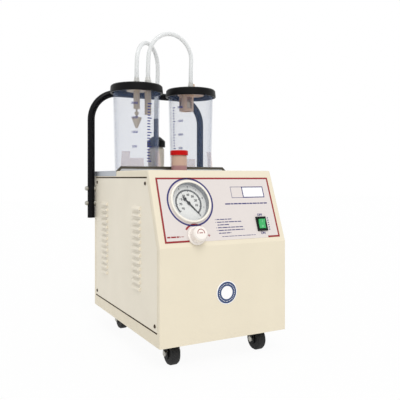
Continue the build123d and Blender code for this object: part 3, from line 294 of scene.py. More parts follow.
# %% Clear plastics
def clear_plastic(name, colour, face_on, edge_on, gloss=0.06, cloudy=0.04, painted_glow=0.0):
    finish = Finish(name)
    turned_away = finish.node("ShaderNodeLayerWeight", {}, {"Blend": 0.5}, output=1)
    cloud = finish.noise(60.0, 3.0)
    rim = turned_away * turned_away * turned_away
    show = rim * (edge_on - face_on) + face_on + cloud * cloudy
    # A glow given here is painted light: the part is no lamp.
    return finish.surface(
        Base_Color=colour, Roughness=gloss + cloud * 0.08, Alpha=show,
        Emission_Color=colour, Emission_Strength=painted_glow,
        Normal=finish.bump(finish.noise(12.0, 2.0), 0.00003))


jar_plastic = clear_plastic("clear_jar_plastic", linear(120, 140, 180), 0.075, 0.34,
                            cloudy=0.02)
lens_plastic = clear_plastic("gauge_lens_plastic", linear(225, 232, 240), 0.02, 0.3, 0.01)
hose_plastic = clear_plastic("clear_hose_plastic", linear(236, 238, 238), 0.6, 0.97, 0.15,
                             0.05)
trap_plastic = clear_plastic("trap_plastic", linear(222, 214, 198), 0.6, 0.9, 0.2)
sleeve_plastic = clear_plastic("sleeve_plastic", linear(228, 228, 224), 0.75, 0.95, 0.25)
# The stops' faint glow is painted light that lifts them where the jars shade them.
stop_plastic = clear_plastic("jar_stop_plastic", linear(250, 228, 220), 0.3, 0.55, 0.3,
                             painted_glow=0.2)


def pot_finish(name, colour, sediment, level):
    """A milky pot that is darker up to the level of what has settled in it."""
    finish = Finish(name)
    height = finish.node("ShaderNodeSeparateXYZ", {}, {0: finish.place()}, output=2)
    above = finish.node("ShaderNodeMapRange", {"interpolation_type": "SMOOTHSTEP"},
                        {"Value": height, "From Min": level - 0.002, "From Max": level + 0.003})
    cloud = finish.noise(60.0, 3.0)
    return finish.surface(
        Base_Color=finish.mix(above, sediment, colour), Roughness=0.3 + cloud * 0.1,
        Alpha=0.82 + cloud * 0.08, Normal=finish.bump(cloud, 0.00003))


SEDIMENT_TOP = 0.4165
pot_plastic = pot_finish("pot_plastic", linear(208, 176, 158), linear(172, 128, 132),
                         SEDIMENT_TOP)
print("a clear finish has", len(jar_plastic.node_tree.nodes), "nodes")

# %% [markdown]
# Printing is a thin, even film of ink, so it needs little more than its colour and a slight
# shine.

# %% Inks and prints
def ink(name, colour, gloss=0.45):
    finish = Finish(name)
    wear = finish.noise(400.0, 3.0)
    paler = tuple(min(1.0, c * 1.06 + 0.01) for c in colour[:3]) + (1.0,)
    return finish.surface(Base_Color=finish.mix(wear, colour, paler), Roughness=gloss)


label_film = ink("label_film", linear(217, 209, 205), 0.4)
red_ink = ink("red_ink", linear(142, 14, 22))
blue_ink = ink("blue_ink", linear(36, 34, 104))
badge_blue = ink("badge_blue_ink", linear(30, 58, 104))
jar_blue = ink("jar_blue_ink", linear(24, 36, 118))
grey_ink = ink("grey_ink", linear(92, 94, 98))
# Black serves the dial's print and also the painted shade in the screw crosses.
black_print_and_recess_shade = ink("black_print_and_recess_shade", linear(18, 18, 20))
white_ink = ink("white_ink", linear(243, 243, 243))
pale_green_ink = ink("pale_green_ink", linear(150, 214, 172))
dial_paper = ink("dial_paper", linear(228, 228, 224), 0.6)
print(len(bpy.data.materials), "materials so far")

# %% [markdown]
# The photograph's ground is pure white. The floor shows white to the camera, and to what mirrors
# or bends the view, but it still takes the shadow of the castors. The object itself is lit
# plainly: an even sky and one soft sun from the front, so that colours come out as they are
# written.

# %% Floor, sky and sun
def white_to_the_eye(finish):
    """One for a ray from the camera, a mirror or a glass, else nought."""
    path = [finish.node("ShaderNodeLightPath", output=ray) for ray in (0, 3, 6)]
    return finish.node("ShaderNodeMath", {"operation": "ADD", "use_clamp": True},
                       {0: path[0] + path[1], 1: path[2]})


SKY_LEVEL = 0.78
SUN_LEVEL = 1.15
SUN_TURN = (math.radians(38), 0, math.radians(-12))

floor_finish = Finish("studio_floor")
eye = white_to_the_eye(floor_finish)
paper = floor_finish.node("ShaderNodeBsdfDiffuse", {}, {"Color": (0.86, 0.86, 0.86, 1)})
white = floor_finish.node("ShaderNodeEmission", {}, {"Color": (1, 1, 1, 1), "Strength": 1.0})
both = floor_finish.node("ShaderNodeMixShader", {}, {0: eye * 0.94, 1: paper, 2: white})
floor_mesh = bmesh.new()
bmesh.ops.create_grid(floor_mesh, x_segments=1, y_segments=1, size=8.0)
floor_data = bpy.data.meshes.new("studio_floor")
floor_mesh.to_mesh(floor_data)
floor = bpy.data.objects.new("studio_floor", floor_data)
floor.data.materials.append(floor_finish.show(both))
bpy.context.scene.collection.objects.link(floor)

sky = Finish("sky", bpy.data.worlds.new("sky"), "ShaderNodeOutputWorld")
level = white_to_the_eye(sky) * (1.0 - SKY_LEVEL) + SKY_LEVEL
bpy.context.scene.world = sky.show(
    sky.node("ShaderNodeBackground", {}, {"Color": (1, 1, 1, 1), "Strength": level}))

sun_data = bpy.data.lights.new("sun", "SUN")
sun_data.energy = SUN_LEVEL
sun_data.angle = math.radians(25)
sun = bpy.data.objects.new("sun", sun_data)
sun.rotation_euler = SUN_TURN
bpy.context.scene.collection.objects.link(sun)
print("sky", SKY_LEVEL, "and sun", SUN_LEVEL)

# %% [markdown]
# Every new piece goes the same way: a bmesh becomes an object at the origin, rides on a body and
# takes a finish. Shading is smooth, except across edges sharper than a chosen angle.

# %% From a bmesh to a piece
SHARP = math.radians(32)
SAME_POINT = 2e-6


def piece(name, mesh, finish, body, slot=None, stands_for=(), sharp=SHARP, close=True):
    """Turn a bmesh into a piece of the object that rides on a body."""
    if close:
        bmesh.ops.remove_doubles(mesh, verts=mesh.verts[:], dist=SAME_POINT)
        bmesh.ops.recalc_face_normals(mesh, faces=mesh.faces[:])
    for edge in mesh.edges:
        edge.smooth = not (len(edge.link_faces) == 2 and edge.calc_face_angle(0.0) > sharp)
    for face in mesh.faces:
        face.smooth = True
    data = bpy.data.meshes.new(name)
    mesh.to_mesh(data)
    mesh.free()
    made = bpy.data.objects.new(name, data)
    made.data.materials.append(finish)
    bpy.context.scene.collection.objects.link(made)
    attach(made, body)
    if stands_for:
        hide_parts(*stands_for)
    return made


def soften(made, width, segments=2):
    """Break a piece's sharp edges by a small bevel."""
    bevel = made.modifiers.new("soft_edges", "BEVEL")
    bevel.width = width
    bevel.segments = segments
    bevel.limit_method = "ANGLE"
    bevel.angle_limit = SHARP


def body_of(node):
    """The body that a solid rides on."""
    return frame["nodes"][node]["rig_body"]


def slot_of(node):
    """The material slot that the record gives a solid."""
    return next((entry["material_slot"] for entry in frame["record"]["subparts"]
                 if entry["node"] == node), None)


def spun(outline, centre=(0, 0, 0), steps=96, mesh=None, matrix=None):
    """Turn an outline of (radius, height) points about an upright axis."""
    mesh = mesh or bmesh.new()
    before = set(mesh.verts)
    points = [mesh.verts.new((radius, 0, height)) for radius, height in outline]
    edges = [mesh.edges.new(pair) for pair in zip(points, points[1:])]
    bmesh.ops.spin(mesh, geom=points + edges, cent=(0, 0, 0), axis=(0, 0, 1),
                   angle=math.tau, steps=steps, use_merge=True)
    made = [vert for vert in mesh.verts if vert not in before]
    bmesh.ops.remove_doubles(mesh, verts=made, dist=1e-6)
    made = [vert for vert in mesh.verts if vert not in before]
    place = matrix if matrix is not None else Matrix.Translation(centre)
    bmesh.ops.transform(mesh, matrix=place, verts=made)
    return mesh


def arc_points(radius, height, bend, start, end, count=5):
    """Outline points round a bend, from one angle to another in degrees."""
    points = []
    for i in range(count):
        turn = math.radians(start + (end - start) * i / (count - 1))
        points.append((radius + bend * math.cos(turn), height + bend * math.sin(turn)))
    return points


print("the left lid rides on", body_of("lid_left"), "in the slot", slot_of("lid_left"))

# %% [markdown]
# The two hoses are fixed lengths of soft PVC. Each is one smooth curve that leaves its port
# straight up, bows over under its own stiffness and comes down on the next port. A swept mesh
# would do as well, but a curve with a round bevel stays even and is easy to measure.

# %% Hoses between the ports
HOSE_DIAMETER = 0.011


def middle_of(node):
    """The middle of a solid's box."""
    low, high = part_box(node)
    return (low + high) / 2


JAR_LEFT = middle_of("jar_left")
JAR_RIGHT = middle_of("jar_right")
TRAP_TOP = middle_of("trap_cap")
RADIAL = (Vector((TRAP_TOP.x, TRAP_TOP.y, 0)) - Vector((JAR_LEFT.x, JAR_LEFT.y, 0)))
TO_TRAP = RADIAL.length / MM


def hose(name, start, along, route, length, node):
    """A hose through (distance along a line, height) points, in millimetres."""
    curve = bpy.data.curves.new(name, "CURVE")
    curve.dimensions = "3D"
    curve.bevel_depth = HOSE_DIAMETER / 2
    curve.bevel_resolution = 6
    curve.resolution_u = 24
    curve.use_fill_caps = True
    line = curve.splines.new("NURBS")
    line.points.add(len(route) - 1)
    for point, (distance, height) in zip(line.points, route):
        where = Vector((start.x, start.y, 0)) + along * distance * MM
        point.co = (where.x, where.y, height * MM, 1)
    line.order_u = 3
    line.use_endpoint_u = True
    made = bpy.data.objects.new(name, curve)
    made.data.materials.append(hose_plastic)
    bpy.context.scene.collection.objects.link(made)
    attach(made, "lid_left")
    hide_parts(node)
    print(name, "is", length, "mm long")


hose("link_hose", Vector((0, JAR_LEFT.y, 0)), Vector((1, 0, 0)), [
    (-46.5, 640), (-46.5, 680), (-43, 721), (-21, 755), (17.5, 770), (56.5, 756), (80, 721),
    (77.5, 680), (77.5, 640)], 321.5, "tube_link")
hose("trap_hose", JAR_LEFT, RADIAL.normalized(), [
    (0, 640), (0, 672), (2, 706), (21, 734), (51, 745), (82, 735), (102, 708), (104, 675),
    (101, 636), (TO_TRAP, 592), (TO_TRAP, 547)], 355.0, "tube_trap")

# %% [markdown]
# The clear jars are spun from their wall's outline, finely enough that the glassy edge stays
# round. The foot has a ring to stand on, and the rim is rounded like a moulded one. A plain
# cylinder would lack the wall's thickness, which clear plastic shows at every edge.

# %% Clear jars
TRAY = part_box("jar_left")[0].z
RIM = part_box("jar_left")[1].z
FOOT_RADIUS = 0.055
RIM_RADIUS = 0.060
WALL = 0.0025


def jar_outline():
    """Up the outside of the wall, over the rim and down the inside."""
    foot, inner = FOOT_RADIUS, FOOT_RADIUS - WALL
    points = [(0, TRAY + 1.5 * MM), (foot - 8 * MM, TRAY + 1.5 * MM),
              (foot - 6.6 * MM, TRAY + 0.4 * MM), (foot - 5 * MM, TRAY), (foot - 2.6 * MM, TRAY)]
    points += arc_points(foot - 3.2 * MM, TRAY + 3.4 * MM, 3.3 * MM, -70, -5)
    points += [(RIM_RADIUS - 0.05 * MM, RIM - 0.9 * MM)]
    points += arc_points(RIM_RADIUS - 0.9 * MM, RIM - 0.9 * MM, 0.9 * MM, 10, 90, 4)
    points += arc_points(RIM_RADIUS - WALL + 0.7 * MM, RIM - 0.7 * MM, 0.7 * MM, 90, 180, 4)
    points += [(inner, TRAY + 10 * MM)]
    points += arc_points(inner - 5 * MM, TRAY + 9.4 * MM, 5 * MM, -5, -85)
    points += [(0, TRAY + 4 * MM)]
    return points


for side, centre in (("left", JAR_LEFT), ("right", JAR_RIGHT)):
    piece("jar_%s_clear" % side, spun(jar_outline(), (centre.x, centre.y, 0), 128),
          jar_plastic, "jar_" + side, "clear_jar", ("jar_" + side,), math.radians(60))
print("jars stand on", round(TRAY, 4), "and reach", round(RIM, 4))

# %% [markdown]
# Volume marks are printed on the jar, so they bend with it. A flat drawing is made first, with x
# as distance round the wall, y as height and z as thickness, and then each point is wrapped on
# the cone.

# %% Marks wrapped on a jar
FILM = 0.00003


def plate(mesh, x0, x1, y0, y1, low=0.0, high=0.00012, cuts=0):
    """A thin block between two corners; cuts across its length let it bend."""
    middle = Matrix.Translation(((x0 + x1) / 2, (y0 + y1) / 2, (low + high) / 2))
    size = Matrix.Diagonal((x1 - x0, y1 - y0, high - low, 1))
    corners = bmesh.ops.create_cube(mesh, size=1.0, matrix=middle @ size)["verts"]
    if cuts:
        edges = {edge for vert in corners for edge in vert.link_edges}
        along = [edge for edge in edges
                 if abs(edge.verts[0].co.x - edge.verts[1].co.x) > (x1 - x0) / 2]
        bmesh.ops.subdivide_edges(mesh, edges=along, cuts=cuts)
    return corners


def lettering(mesh, words, size, x, y, thick=0.0001, bold=0.0):
    """Flat text as mesh, added to a drawing with its centre at x, y."""
    curve = bpy.data.curves.new("lettering", "FONT")
    curve.body = words
    curve.size = size
    curve.offset = bold
    curve.align_x = "CENTER"
    curve.align_y = "CENTER"
    curve.extrude = thick / 2
    temporary = bpy.data.objects.new("lettering", curve)
    flat = bpy.data.meshes.new_from_object(temporary)
    before = set(mesh.verts)
    mesh.from_mesh(flat)
    added = [vert for vert in mesh.verts if vert not in before]
    bmesh.ops.translate(mesh, vec=(x, y, 0), verts=added)
    bpy.data.objects.remove(temporary)
    bpy.data.curves.remove(curve)
    bpy.data.meshes.remove(flat)


def wrap(mesh, centre, facing):
    """Bend a flat drawing round the jar; facing is the compass angle of its middle."""
    slope = (RIM_RADIUS - FOOT_RADIUS) / (RIM - TRAY)
    for vert in mesh.verts:
        radius = FOOT_RADIUS + (vert.co.y - TRAY) * slope + vert.co.z + FILM
        turn = facing + vert.co.x / FOOT_RADIUS
        vert.co = Vector((centre.x + radius * math.cos(turn), centre.y + radius * math.sin(turn),
                          vert.co.y))


SCALE_LOW = TRAY + 0.024
SCALE_STEP = 0.0071
MARKS = 20
MARK_START = -0.002
LONG_MARK = 1.5
NUMBER_SIZE = 0.0078
SCALES = {
    "left": dict(turn=math.radians(-82), reach=0.0080, thick=0.0028, numbers=-0.0330),
    "right": dict(turn=math.radians(-168), reach=0.0060, thick=0.0024, numbers=0.0220),
}

for side, centre in (("left", JAR_LEFT), ("right", JAR_RIGHT)):
    look = SCALES[side]
    scale = bmesh.new()
    for mark in range(MARKS + 1):
        height = SCALE_LOW + mark * SCALE_STEP
        reach = look["reach"] * (LONG_MARK if mark % 5 == 0 else 1.0)
        half = look["thick"] / 2
        plate(scale, MARK_START, MARK_START + reach, height - half, height + half, cuts=3)
        if mark and mark % 5 == 0:
            lettering(scale, str(mark * 100), NUMBER_SIZE, look["numbers"], height, bold=0.00018)
    wrap(scale, centre, look["turn"])
    piece("jar_%s_scale" % side, scale, jar_blue, "jar_" + side, "clear_jar", close=False)
print("each jar has", MARKS, "marks")

# %% [markdown]
# Solids from the model come as loose triangles with hard edges. A merged copy shades smoothly,
# keeps flat faces flat and gets the small broken edge that catches the light on every real part.

# %% Finish for each solid
FLAT = math.radians(0.6)


def smooth_solid(node, finish, edge=0.0):
    """A merged, smoothly shaded copy of a solid that stands in its place."""
    copy = bmesh.new()
    copy.from_mesh(frame["nodes"][node].data)
    bmesh.ops.remove_doubles(copy, verts=copy.verts[:], dist=SAME_POINT)
    bmesh.ops.dissolve_limit(copy, angle_limit=FLAT, verts=copy.verts[:], edges=copy.edges[:],
                             delimit=set())
    made = piece(node + "_finished", copy, finish, body_of(node), slot_of(node), (node,),
                 close=False)
    if edge:
        soften(made, edge)
    even = made.modifiers.new("even_shading", "WEIGHTED_NORMAL")
    even.keep_sharp = True


def paint(node, finish):
    """Give a solid that stays as it is a better finish."""
    shown = frame["nodes"][node]
    shown.data.materials.clear()
    shown.data.materials.append(finish)


SOFTENED = {
    "cabinet_shell": (cream, 0.0), "side_cover_left": (cream_side, 0.0),
    "side_cover_right": (cream_side, 0.0), "rear_panel": (cream, 0.0),
    "handle_tube": (black_paint, 0.0), "lid_left": (black_plastic, 0.0005),
    "lid_right": (black_plastic, 0.0005), "lid_fittings_left": (beige_plastic, 0.0003),
    "lid_fittings_right": (peach_plastic, 0.0003), "float_left": (float_plastic, 0.0003),
    "float_right": (float_plastic, 0.0004), "trap_bottle": (trap_plastic, 0.0),
    "trap_cap": (black_plastic, 0.0004), "pot_body": (pot_plastic, 0.0),
    "pot_cap": (red_plastic, 0.0005), "gauge_case": (black_plastic, 0.0),
    "regulator_knob": (knob_plastic, 0.0004), "switch_frame": (switch_black, 0.0004),
    "switch_rocker": (green_lens, 0.0006), "jar_tray": (stainless, 0.0),
    "jar_stops": (stop_plastic, 0.0003), "handle_fixings": (zinc, 0.0003),
    "cover_screws": (browned, 0.0003), "exhaust_silencer": (bronze, 0.0003),
    "power_inlet": (black_plastic, 0.0003), "fuse_drawer": (black_plastic, 0.0003),
}
PAINTED = {
    "base_plate": cream, "control_panel": label_film, "lid_seal_left": black_rubber,
    "lid_seal_right": black_rubber, "regulator_valve": brass, "motor_housing": cast_alloy,
    "motor_rotor": zinc, "cooling_fan": black_plastic, "pump_crankcase": cast_alloy,
    "pump_head": cast_alloy, "pump_frame": zinc, "pump_mounts": black_rubber,
    "inner_hoses": inner_hose_rubber,
}
for corner in ("front_left", "front_right", "rear_left", "rear_right"):
    SOFTENED["castor_fork_" + corner] = (castor_paint, 0.0006)
    SOFTENED["castor_wheel_" + corner] = (tyre_rubber, 0.0)
    SOFTENED["castor_axle_" + corner] = (zinc, 0.0003)
SOFTENED["castor_plates"] = (zinc, 0.0003)

for node, look in SOFTENED.items():
    smooth_solid(node, *look)
for node, finish in PAINTED.items():
    paint(node, finish)
print(len(SOFTENED), "solids are smoothed and", len(PAINTED), "are painted")

# %% [markdown]
# The label on the slope is flat printing, so it is drawn in the label's own plane. Its middle and
# its tilt come from the model. u runs to the right and v runs up the slope, both from the middle.

# %% Drawing on the sloping label
label_low, label_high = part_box("control_panel")
LABEL_MIDDLE = (label_low + label_high) / 2
LABEL_ALONG = Vector((1, 0, 0))
LABEL_OUT = Vector(joints["gauge_pointer_turn"]["axis"]).normalized()
LABEL_UP = LABEL_OUT.cross(LABEL_ALONG)
LABEL_TURN = Matrix((LABEL_ALONG, LABEL_UP, LABEL_OUT)).transposed().to_4x4()
SHEET_HALF = 0.0003
INK = 0.00010
GAUGE = (-68.1, 15.8)
KNOB = (-68.5, -58.0)
ROCKER = (97.5, -39.0)


def on_label(u, v, height=0.0):
    """Matrix that puts a flat drawing on the label; millimetres from its middle."""
    spot = (LABEL_MIDDLE + LABEL_ALONG * u * MM + LABEL_UP * v * MM
            + LABEL_OUT * (SHEET_HALF + height * MM))
    return Matrix.Translation(spot) @ LABEL_TURN


def ring(mesh, inner, outer, low, high, start=0.0, span=360.0, steps=96):
    """A flat ring, or part of one, in the drawing's plane."""
    section = [mesh.verts.new((r, 0, z)) for r, z in
               ((inner, low), (outer, low), (outer, high), (inner, high))]
    edges = [mesh.edges.new((section[k], section[(k + 1) % 4])) for k in range(4)]
    whole = span >= 360
    turn = Matrix.Rotation(math.radians(start), 4, "Z")
    bmesh.ops.transform(mesh, matrix=turn, verts=section)
    if not whole:
        mesh.faces.new(section[::-1])
    spin = bmesh.ops.spin(mesh, geom=section + edges, cent=(0, 0, 0), axis=(0, 0, 1),
                          angle=math.radians(span), steps=steps, use_merge=whole)
    if not whole:
        last = [item for item in spin["geom_last"] if isinstance(item, bmesh.types.BMVert)]
        mesh.faces.new(last)


def bars(mesh, edges):
    """Printed bars, each by its left, right, lower and upper edge in millimetres."""
    for u0, u1, v0, v1 in edges:
        plate(mesh, u0 * MM, u1 * MM, v0 * MM, v1 * MM, 0.0, INK)


def drawing(name, mesh, finish, matrix, body, slot):
    """Put a flat drawing in its place, as a piece."""
    bmesh.ops.transform(mesh, matrix=matrix, verts=mesh.verts[:])
    piece(name, mesh, finish, body, slot, close=False)


print("the label leans", round(math.degrees(math.asin(LABEL_OUT.z)), 1), "degrees back")

# %% [markdown]
# A heavy red line frames the label. At the bottom it is left out between the knob and the switch.
# A blue ring runs round the gauge. A picture could carry all the print, but thin solids of ink
# stay sharp from near by and need no unwrapping.

# %% Red frame and blue ring
WIDE = 139.5
TALL = 70.0
LINE = 3.9
OPEN_FROM = -54.5
OPEN_TO = 108.5
RING_INNER = 0.0498
RING_OUTER = 0.0535

frame_lines = bmesh.new()
bars(frame_lines, (
    (-WIDE, WIDE, TALL - LINE, TALL), (-WIDE, LINE - WIDE, -TALL, TALL - LINE),
    (WIDE - LINE, WIDE, -TALL, TALL - LINE), (LINE - WIDE, OPEN_FROM, -TALL, LINE - TALL),
    (OPEN_TO, WIDE - LINE, -TALL, LINE - TALL)))
drawing("label_red_frame", frame_lines, red_ink, on_label(0, 0), "cabinet", "label")

blue_ring = bmesh.new()
ring(blue_ring, RING_INNER, RING_OUTER, 0.0, INK)
drawing("label_blue_ring", blue_ring, blue_ink, on_label(*GAUGE), "cabinet", "label")
print("the frame is", 2 * WIDE, "by", 2 * TALL, "mm")

# %% [markdown]
# An arc over the knob runs from a minus sign to a plus sign. The knob's own face has an arc and a
# bar. They could be part of its finish, but as a piece that rides on the knob they are simple to
# place and turn with it.

# %% Printing of the knob
SIGN_AT = 30.5
SIGN_REACH = 3.0
SIGN_HALF = 0.6
KNOB_TOP = 24.3

knob_arc = bmesh.new()
ring(knob_arc, 0.0225, 0.0265, 0.0, INK, start=35, span=110, steps=40)
drawing("label_knob_arc", knob_arc, red_ink, on_label(*KNOB), "cabinet", "label")

signs = bmesh.new()
bars(signs, (
    (-SIGN_AT - SIGN_REACH, SIGN_REACH - SIGN_AT, -SIGN_HALF, SIGN_HALF),
    (SIGN_AT - SIGN_REACH, SIGN_AT + SIGN_REACH, -SIGN_HALF, SIGN_HALF),
    (SIGN_AT - SIGN_HALF, SIGN_AT + SIGN_HALF, -SIGN_REACH, SIGN_REACH)))
drawing("label_signs", signs, red_ink, on_label(*KNOB), "cabinet", "label")

knob_face = bmesh.new()
ring(knob_face, 0.0070, 0.0084, 0.0, INK, start=-10, span=200, steps=60)
bars(knob_face, [(-4.0, 4.0, -0.8, 0.8)])
drawing("knob_face_arc", knob_face, red_ink, on_label(*KNOB, KNOB_TOP), "regulator_knob",
        "knob_plastic")
print("the knob's face is", KNOB_TOP, "mm above the label")

# %% [markdown]
# Where the label has small print, rows of plain dashes stand. They are as long as words are, so
# the rows look filled without saying anything. Only ON and OFF are spelt out, beside the switch.

# %% Dashes for small print
DASHES = (7, 11, 5, 9, 13, 6, 10, 8, 12, 5)
DASH_GAP = 1.4
ROWS = (38, 60, 28, 62, 64, 30)
FIRST_ROW = -25.0
ROW_PITCH = 6.0
ROWS_WITH_A_DOT = (0, 1, 3, 4)
TICKS = 6
TICK_PITCH = 5.2


def rule(mesh, u, v, length, half, first=0):
    """A row of dashes, as plain as ruled paper; first says which dash it begins with."""
    start, turn = u, first
    while start < u + length:
        end = min(start + DASHES[turn % len(DASHES)], u + length)
        bars(mesh, [(start, end, v - half, v + half)])
        start, turn = end + DASH_GAP, turn + 1


rules = bmesh.new()
for row, length in enumerate(ROWS):
    v = FIRST_ROW - row * ROW_PITCH
    if row in ROWS_WITH_A_DOT:
        bars(rules, [(-17.5, -16.0, v - 0.7, v + 0.7)])
    rule(rules, -13.5, v, length, 0.95, row)
rule(rules, -7.0, -62.5, 84, 0.6, 2)
rule(rules, 15.0, 9.0, 109, 1.4, 4)
for tick in range(TICKS):
    rule(rules, 115.0, -26.0 - tick * TICK_PITCH, 3.0, 1.3)
for words, v in (("OFF", -18.5), ("ON", -59.5)):
    lettering(rules, words, 0.0075, ROCKER[0] * MM, v * MM, thick=INK, bold=0.0003)
drawing("label_rules", rules, blue_ink, on_label(0, 0), "cabinet", "label")

red_rule = bmesh.new()
rule(red_rule, -133.0, KNOB[1], 29, 1.6)
drawing("label_red_rule", red_rule, red_ink, on_label(0, 0), "cabinet", "label")
print(len(ROWS), "rows of dashes stand beside the knob")

# %% [markdown]
# At the top right stands a box, and it is empty. Its right part has a heavy edge and a white
# ground, and its left part has a light edge. Bars make it, because they meet in square corners,
# where a drawn curve would round them.

# %% Empty box
BOX_LEFT, BOX_STEP, BOX_RIGHT = 35.0, 64.0, 121.0
BOX_LOW, BOX_HIGH = 22.3, 48.5
LIGHT_LOW, LIGHT_HIGH = 22.4, 48.4
HEAVY = 2.2
LIGHT = 1.0

empty_box = bmesh.new()
bars(empty_box, (
    (BOX_STEP, BOX_RIGHT, BOX_HIGH - HEAVY, BOX_HIGH),
    (BOX_STEP, BOX_RIGHT, BOX_LOW, BOX_LOW + HEAVY),
    (BOX_STEP, BOX_STEP + HEAVY, BOX_LOW + HEAVY, BOX_HIGH - HEAVY),
    (BOX_RIGHT - HEAVY, BOX_RIGHT, BOX_LOW + HEAVY, BOX_HIGH - HEAVY),
    (BOX_LEFT, BOX_STEP, LIGHT_HIGH - LIGHT, LIGHT_HIGH),
    (BOX_LEFT, BOX_STEP, LIGHT_LOW, LIGHT_LOW + LIGHT),
    (BOX_LEFT, BOX_LEFT + LIGHT, LIGHT_LOW + LIGHT, LIGHT_HIGH - LIGHT)))
drawing("label_empty_box", empty_box, blue_ink, on_label(0, 0), "cabinet", "label")

box_ground = bmesh.new()
bars(box_ground, [(BOX_STEP + HEAVY, BOX_RIGHT - HEAVY, BOX_LOW + HEAVY, BOX_HIGH - HEAVY)])
drawing("label_box_ground", box_ground, white_ink, on_label(0, 0), "cabinet", "label")
print("the box is", BOX_RIGHT - BOX_LEFT, "mm wide")

# %% [markdown]
# The gauge has a rounded plastic bezel with a sleeve that runs down to the dial, so the dial lies
# deep and one side of the sleeve is in shade. All four are spun from outlines in millimetres, so
# they share one axis and fit into each other.

# %% Gauge bezel, sleeve, dial and lens
DIAL_DEPTH = -9.0
DIAL_RADIUS = 41.4
SLEEVE_RADIUS = 41.1
LENS_HEIGHT = 3.4
bezel_outline = ([(45.05, 0.0), (46.3, 0.0), (46.3, 4.2)] + arc_points(44.6, 4.3, 1.7, 5, 85)
                 + [(43.5, 6.0), (42.4, 5.7), (41.8, 5.0), (41.6, 4.0), (43.3, 5.02),
                    (45.05, 5.05), (45.05, 0.0)])
sleeve_outline = [(41.35, 3.9), (SLEEVE_RADIUS, DIAL_DEPTH), (41.8, DIAL_DEPTH), (41.8, 3.9),
                  (41.35, 3.9)]
dial_outline = [(0.0, DIAL_DEPTH - 1), (DIAL_RADIUS, DIAL_DEPTH - 1), (DIAL_RADIUS, DIAL_DEPTH),
                (0.0, DIAL_DEPTH)]
lens_outline = [(0.0, LENS_HEIGHT - 1), (SLEEVE_RADIUS + 0.2, LENS_HEIGHT - 1),
                (SLEEVE_RADIUS + 0.2, LENS_HEIGHT), (0.0, LENS_HEIGHT)]


def gauge_ring(outline):
    """Spin an outline in millimetres about the gauge's axis."""
    return spun([(radius * MM, height * MM) for radius, height in outline],
                matrix=on_label(*GAUGE))


for node, outline, finish in (("gauge_bezel", bezel_outline, bezel_plastic),
                              ("gauge_dial", dial_outline, dial_paper),
                              ("gauge_lens", lens_outline, lens_plastic)):
    piece(node + "_finished", gauge_ring(outline), finish, "cabinet", slot_of(node), (node,))
piece("gauge_inner_sleeve", gauge_ring(sleeve_outline), sleeve_grey, "cabinet",
      slot_of("gauge_case"))
print("the dial lies", -DIAL_DEPTH, "mm below the label")

# %% [markdown]
# A vacuum gauge reads backwards: nought is at the lower right, where the pointer rests, and the
# numbers climb the other way round. The marks stand on a heavy arc, with a finer scale outside
# it. A loop turns one small block to each place, which keeps the pitch exact.

# %% Dial printing
ZERO_AT = -50.0
SWEEP = 270.0
STEPS = 40
NUMBER_EVERY = 5
ARC_INNER = 0.0276
ARC_OUTER = 0.0299
HAIR = 0.0006
SCALE_RADIUS = ARC_OUTER + HAIR
NUMBERS_AT = 0.0185
FINE_NUMBERS_AT = 0.0362

dial = bmesh.new()
fine = bmesh.new()
for step in range(STEPS + 1):
    turn = math.radians(ZERO_AT + SWEEP * step / STEPS)
    long_mark = step % NUMBER_EVERY == 0
    for mesh, inner, outer, half in (
            (dial, 0.0250 if long_mark else 0.0268, SCALE_RADIUS, 0.0006 if long_mark else 0.0004),
            (fine, SCALE_RADIUS, 0.0330 if long_mark else 0.0318, 0.0003)):
        bmesh.ops.transform(mesh, matrix=Matrix.Rotation(turn, 4, "Z"),
                            verts=plate(mesh, inner, outer, -half, half, 0.0, INK))
    if long_mark:
        across, up = math.cos(turn), math.sin(turn)
        lettering(dial, str(step * 2), 0.0068, NUMBERS_AT * across, NUMBERS_AT * up,
                  thick=0.0002, bold=0.0003)
        lettering(fine, str(step // NUMBER_EVERY), 0.0056, FINE_NUMBERS_AT * across,
                  FINE_NUMBERS_AT * up, thick=0.0002, bold=0.0002)
for edge in (ARC_INNER - HAIR, ARC_OUTER):
    ring(dial, edge, edge + HAIR, 0.0, INK, start=ZERO_AT, span=SWEEP, steps=90)
drawing("dial_marks", dial, black_print_and_recess_shade, on_label(*GAUGE, DIAL_DEPTH), "cabinet", "dial_face")
drawing("dial_fine_marks", fine, grey_ink, on_label(*GAUGE, DIAL_DEPTH), "cabinet", "dial_face")

heavy = bmesh.new()
ring(heavy, ARC_INNER, ARC_OUTER, 0.0, INK * 0.8, start=ZERO_AT, span=SWEEP, steps=90)
drawing("dial_heavy_arc", heavy, grey_ink, on_label(*GAUGE, DIAL_DEPTH), "cabinet", "dial_face")
print("the dial has", STEPS, "marks and", STEPS // NUMBER_EVERY + 1, "numbers")

# %% [markdown]
# The pointer is a tapered blade with a round counterweight on its tail, which keeps it in balance
# on its spindle. A convex hull round a few points gives each half of the blade. It is drawn along
# x and turned to nought.

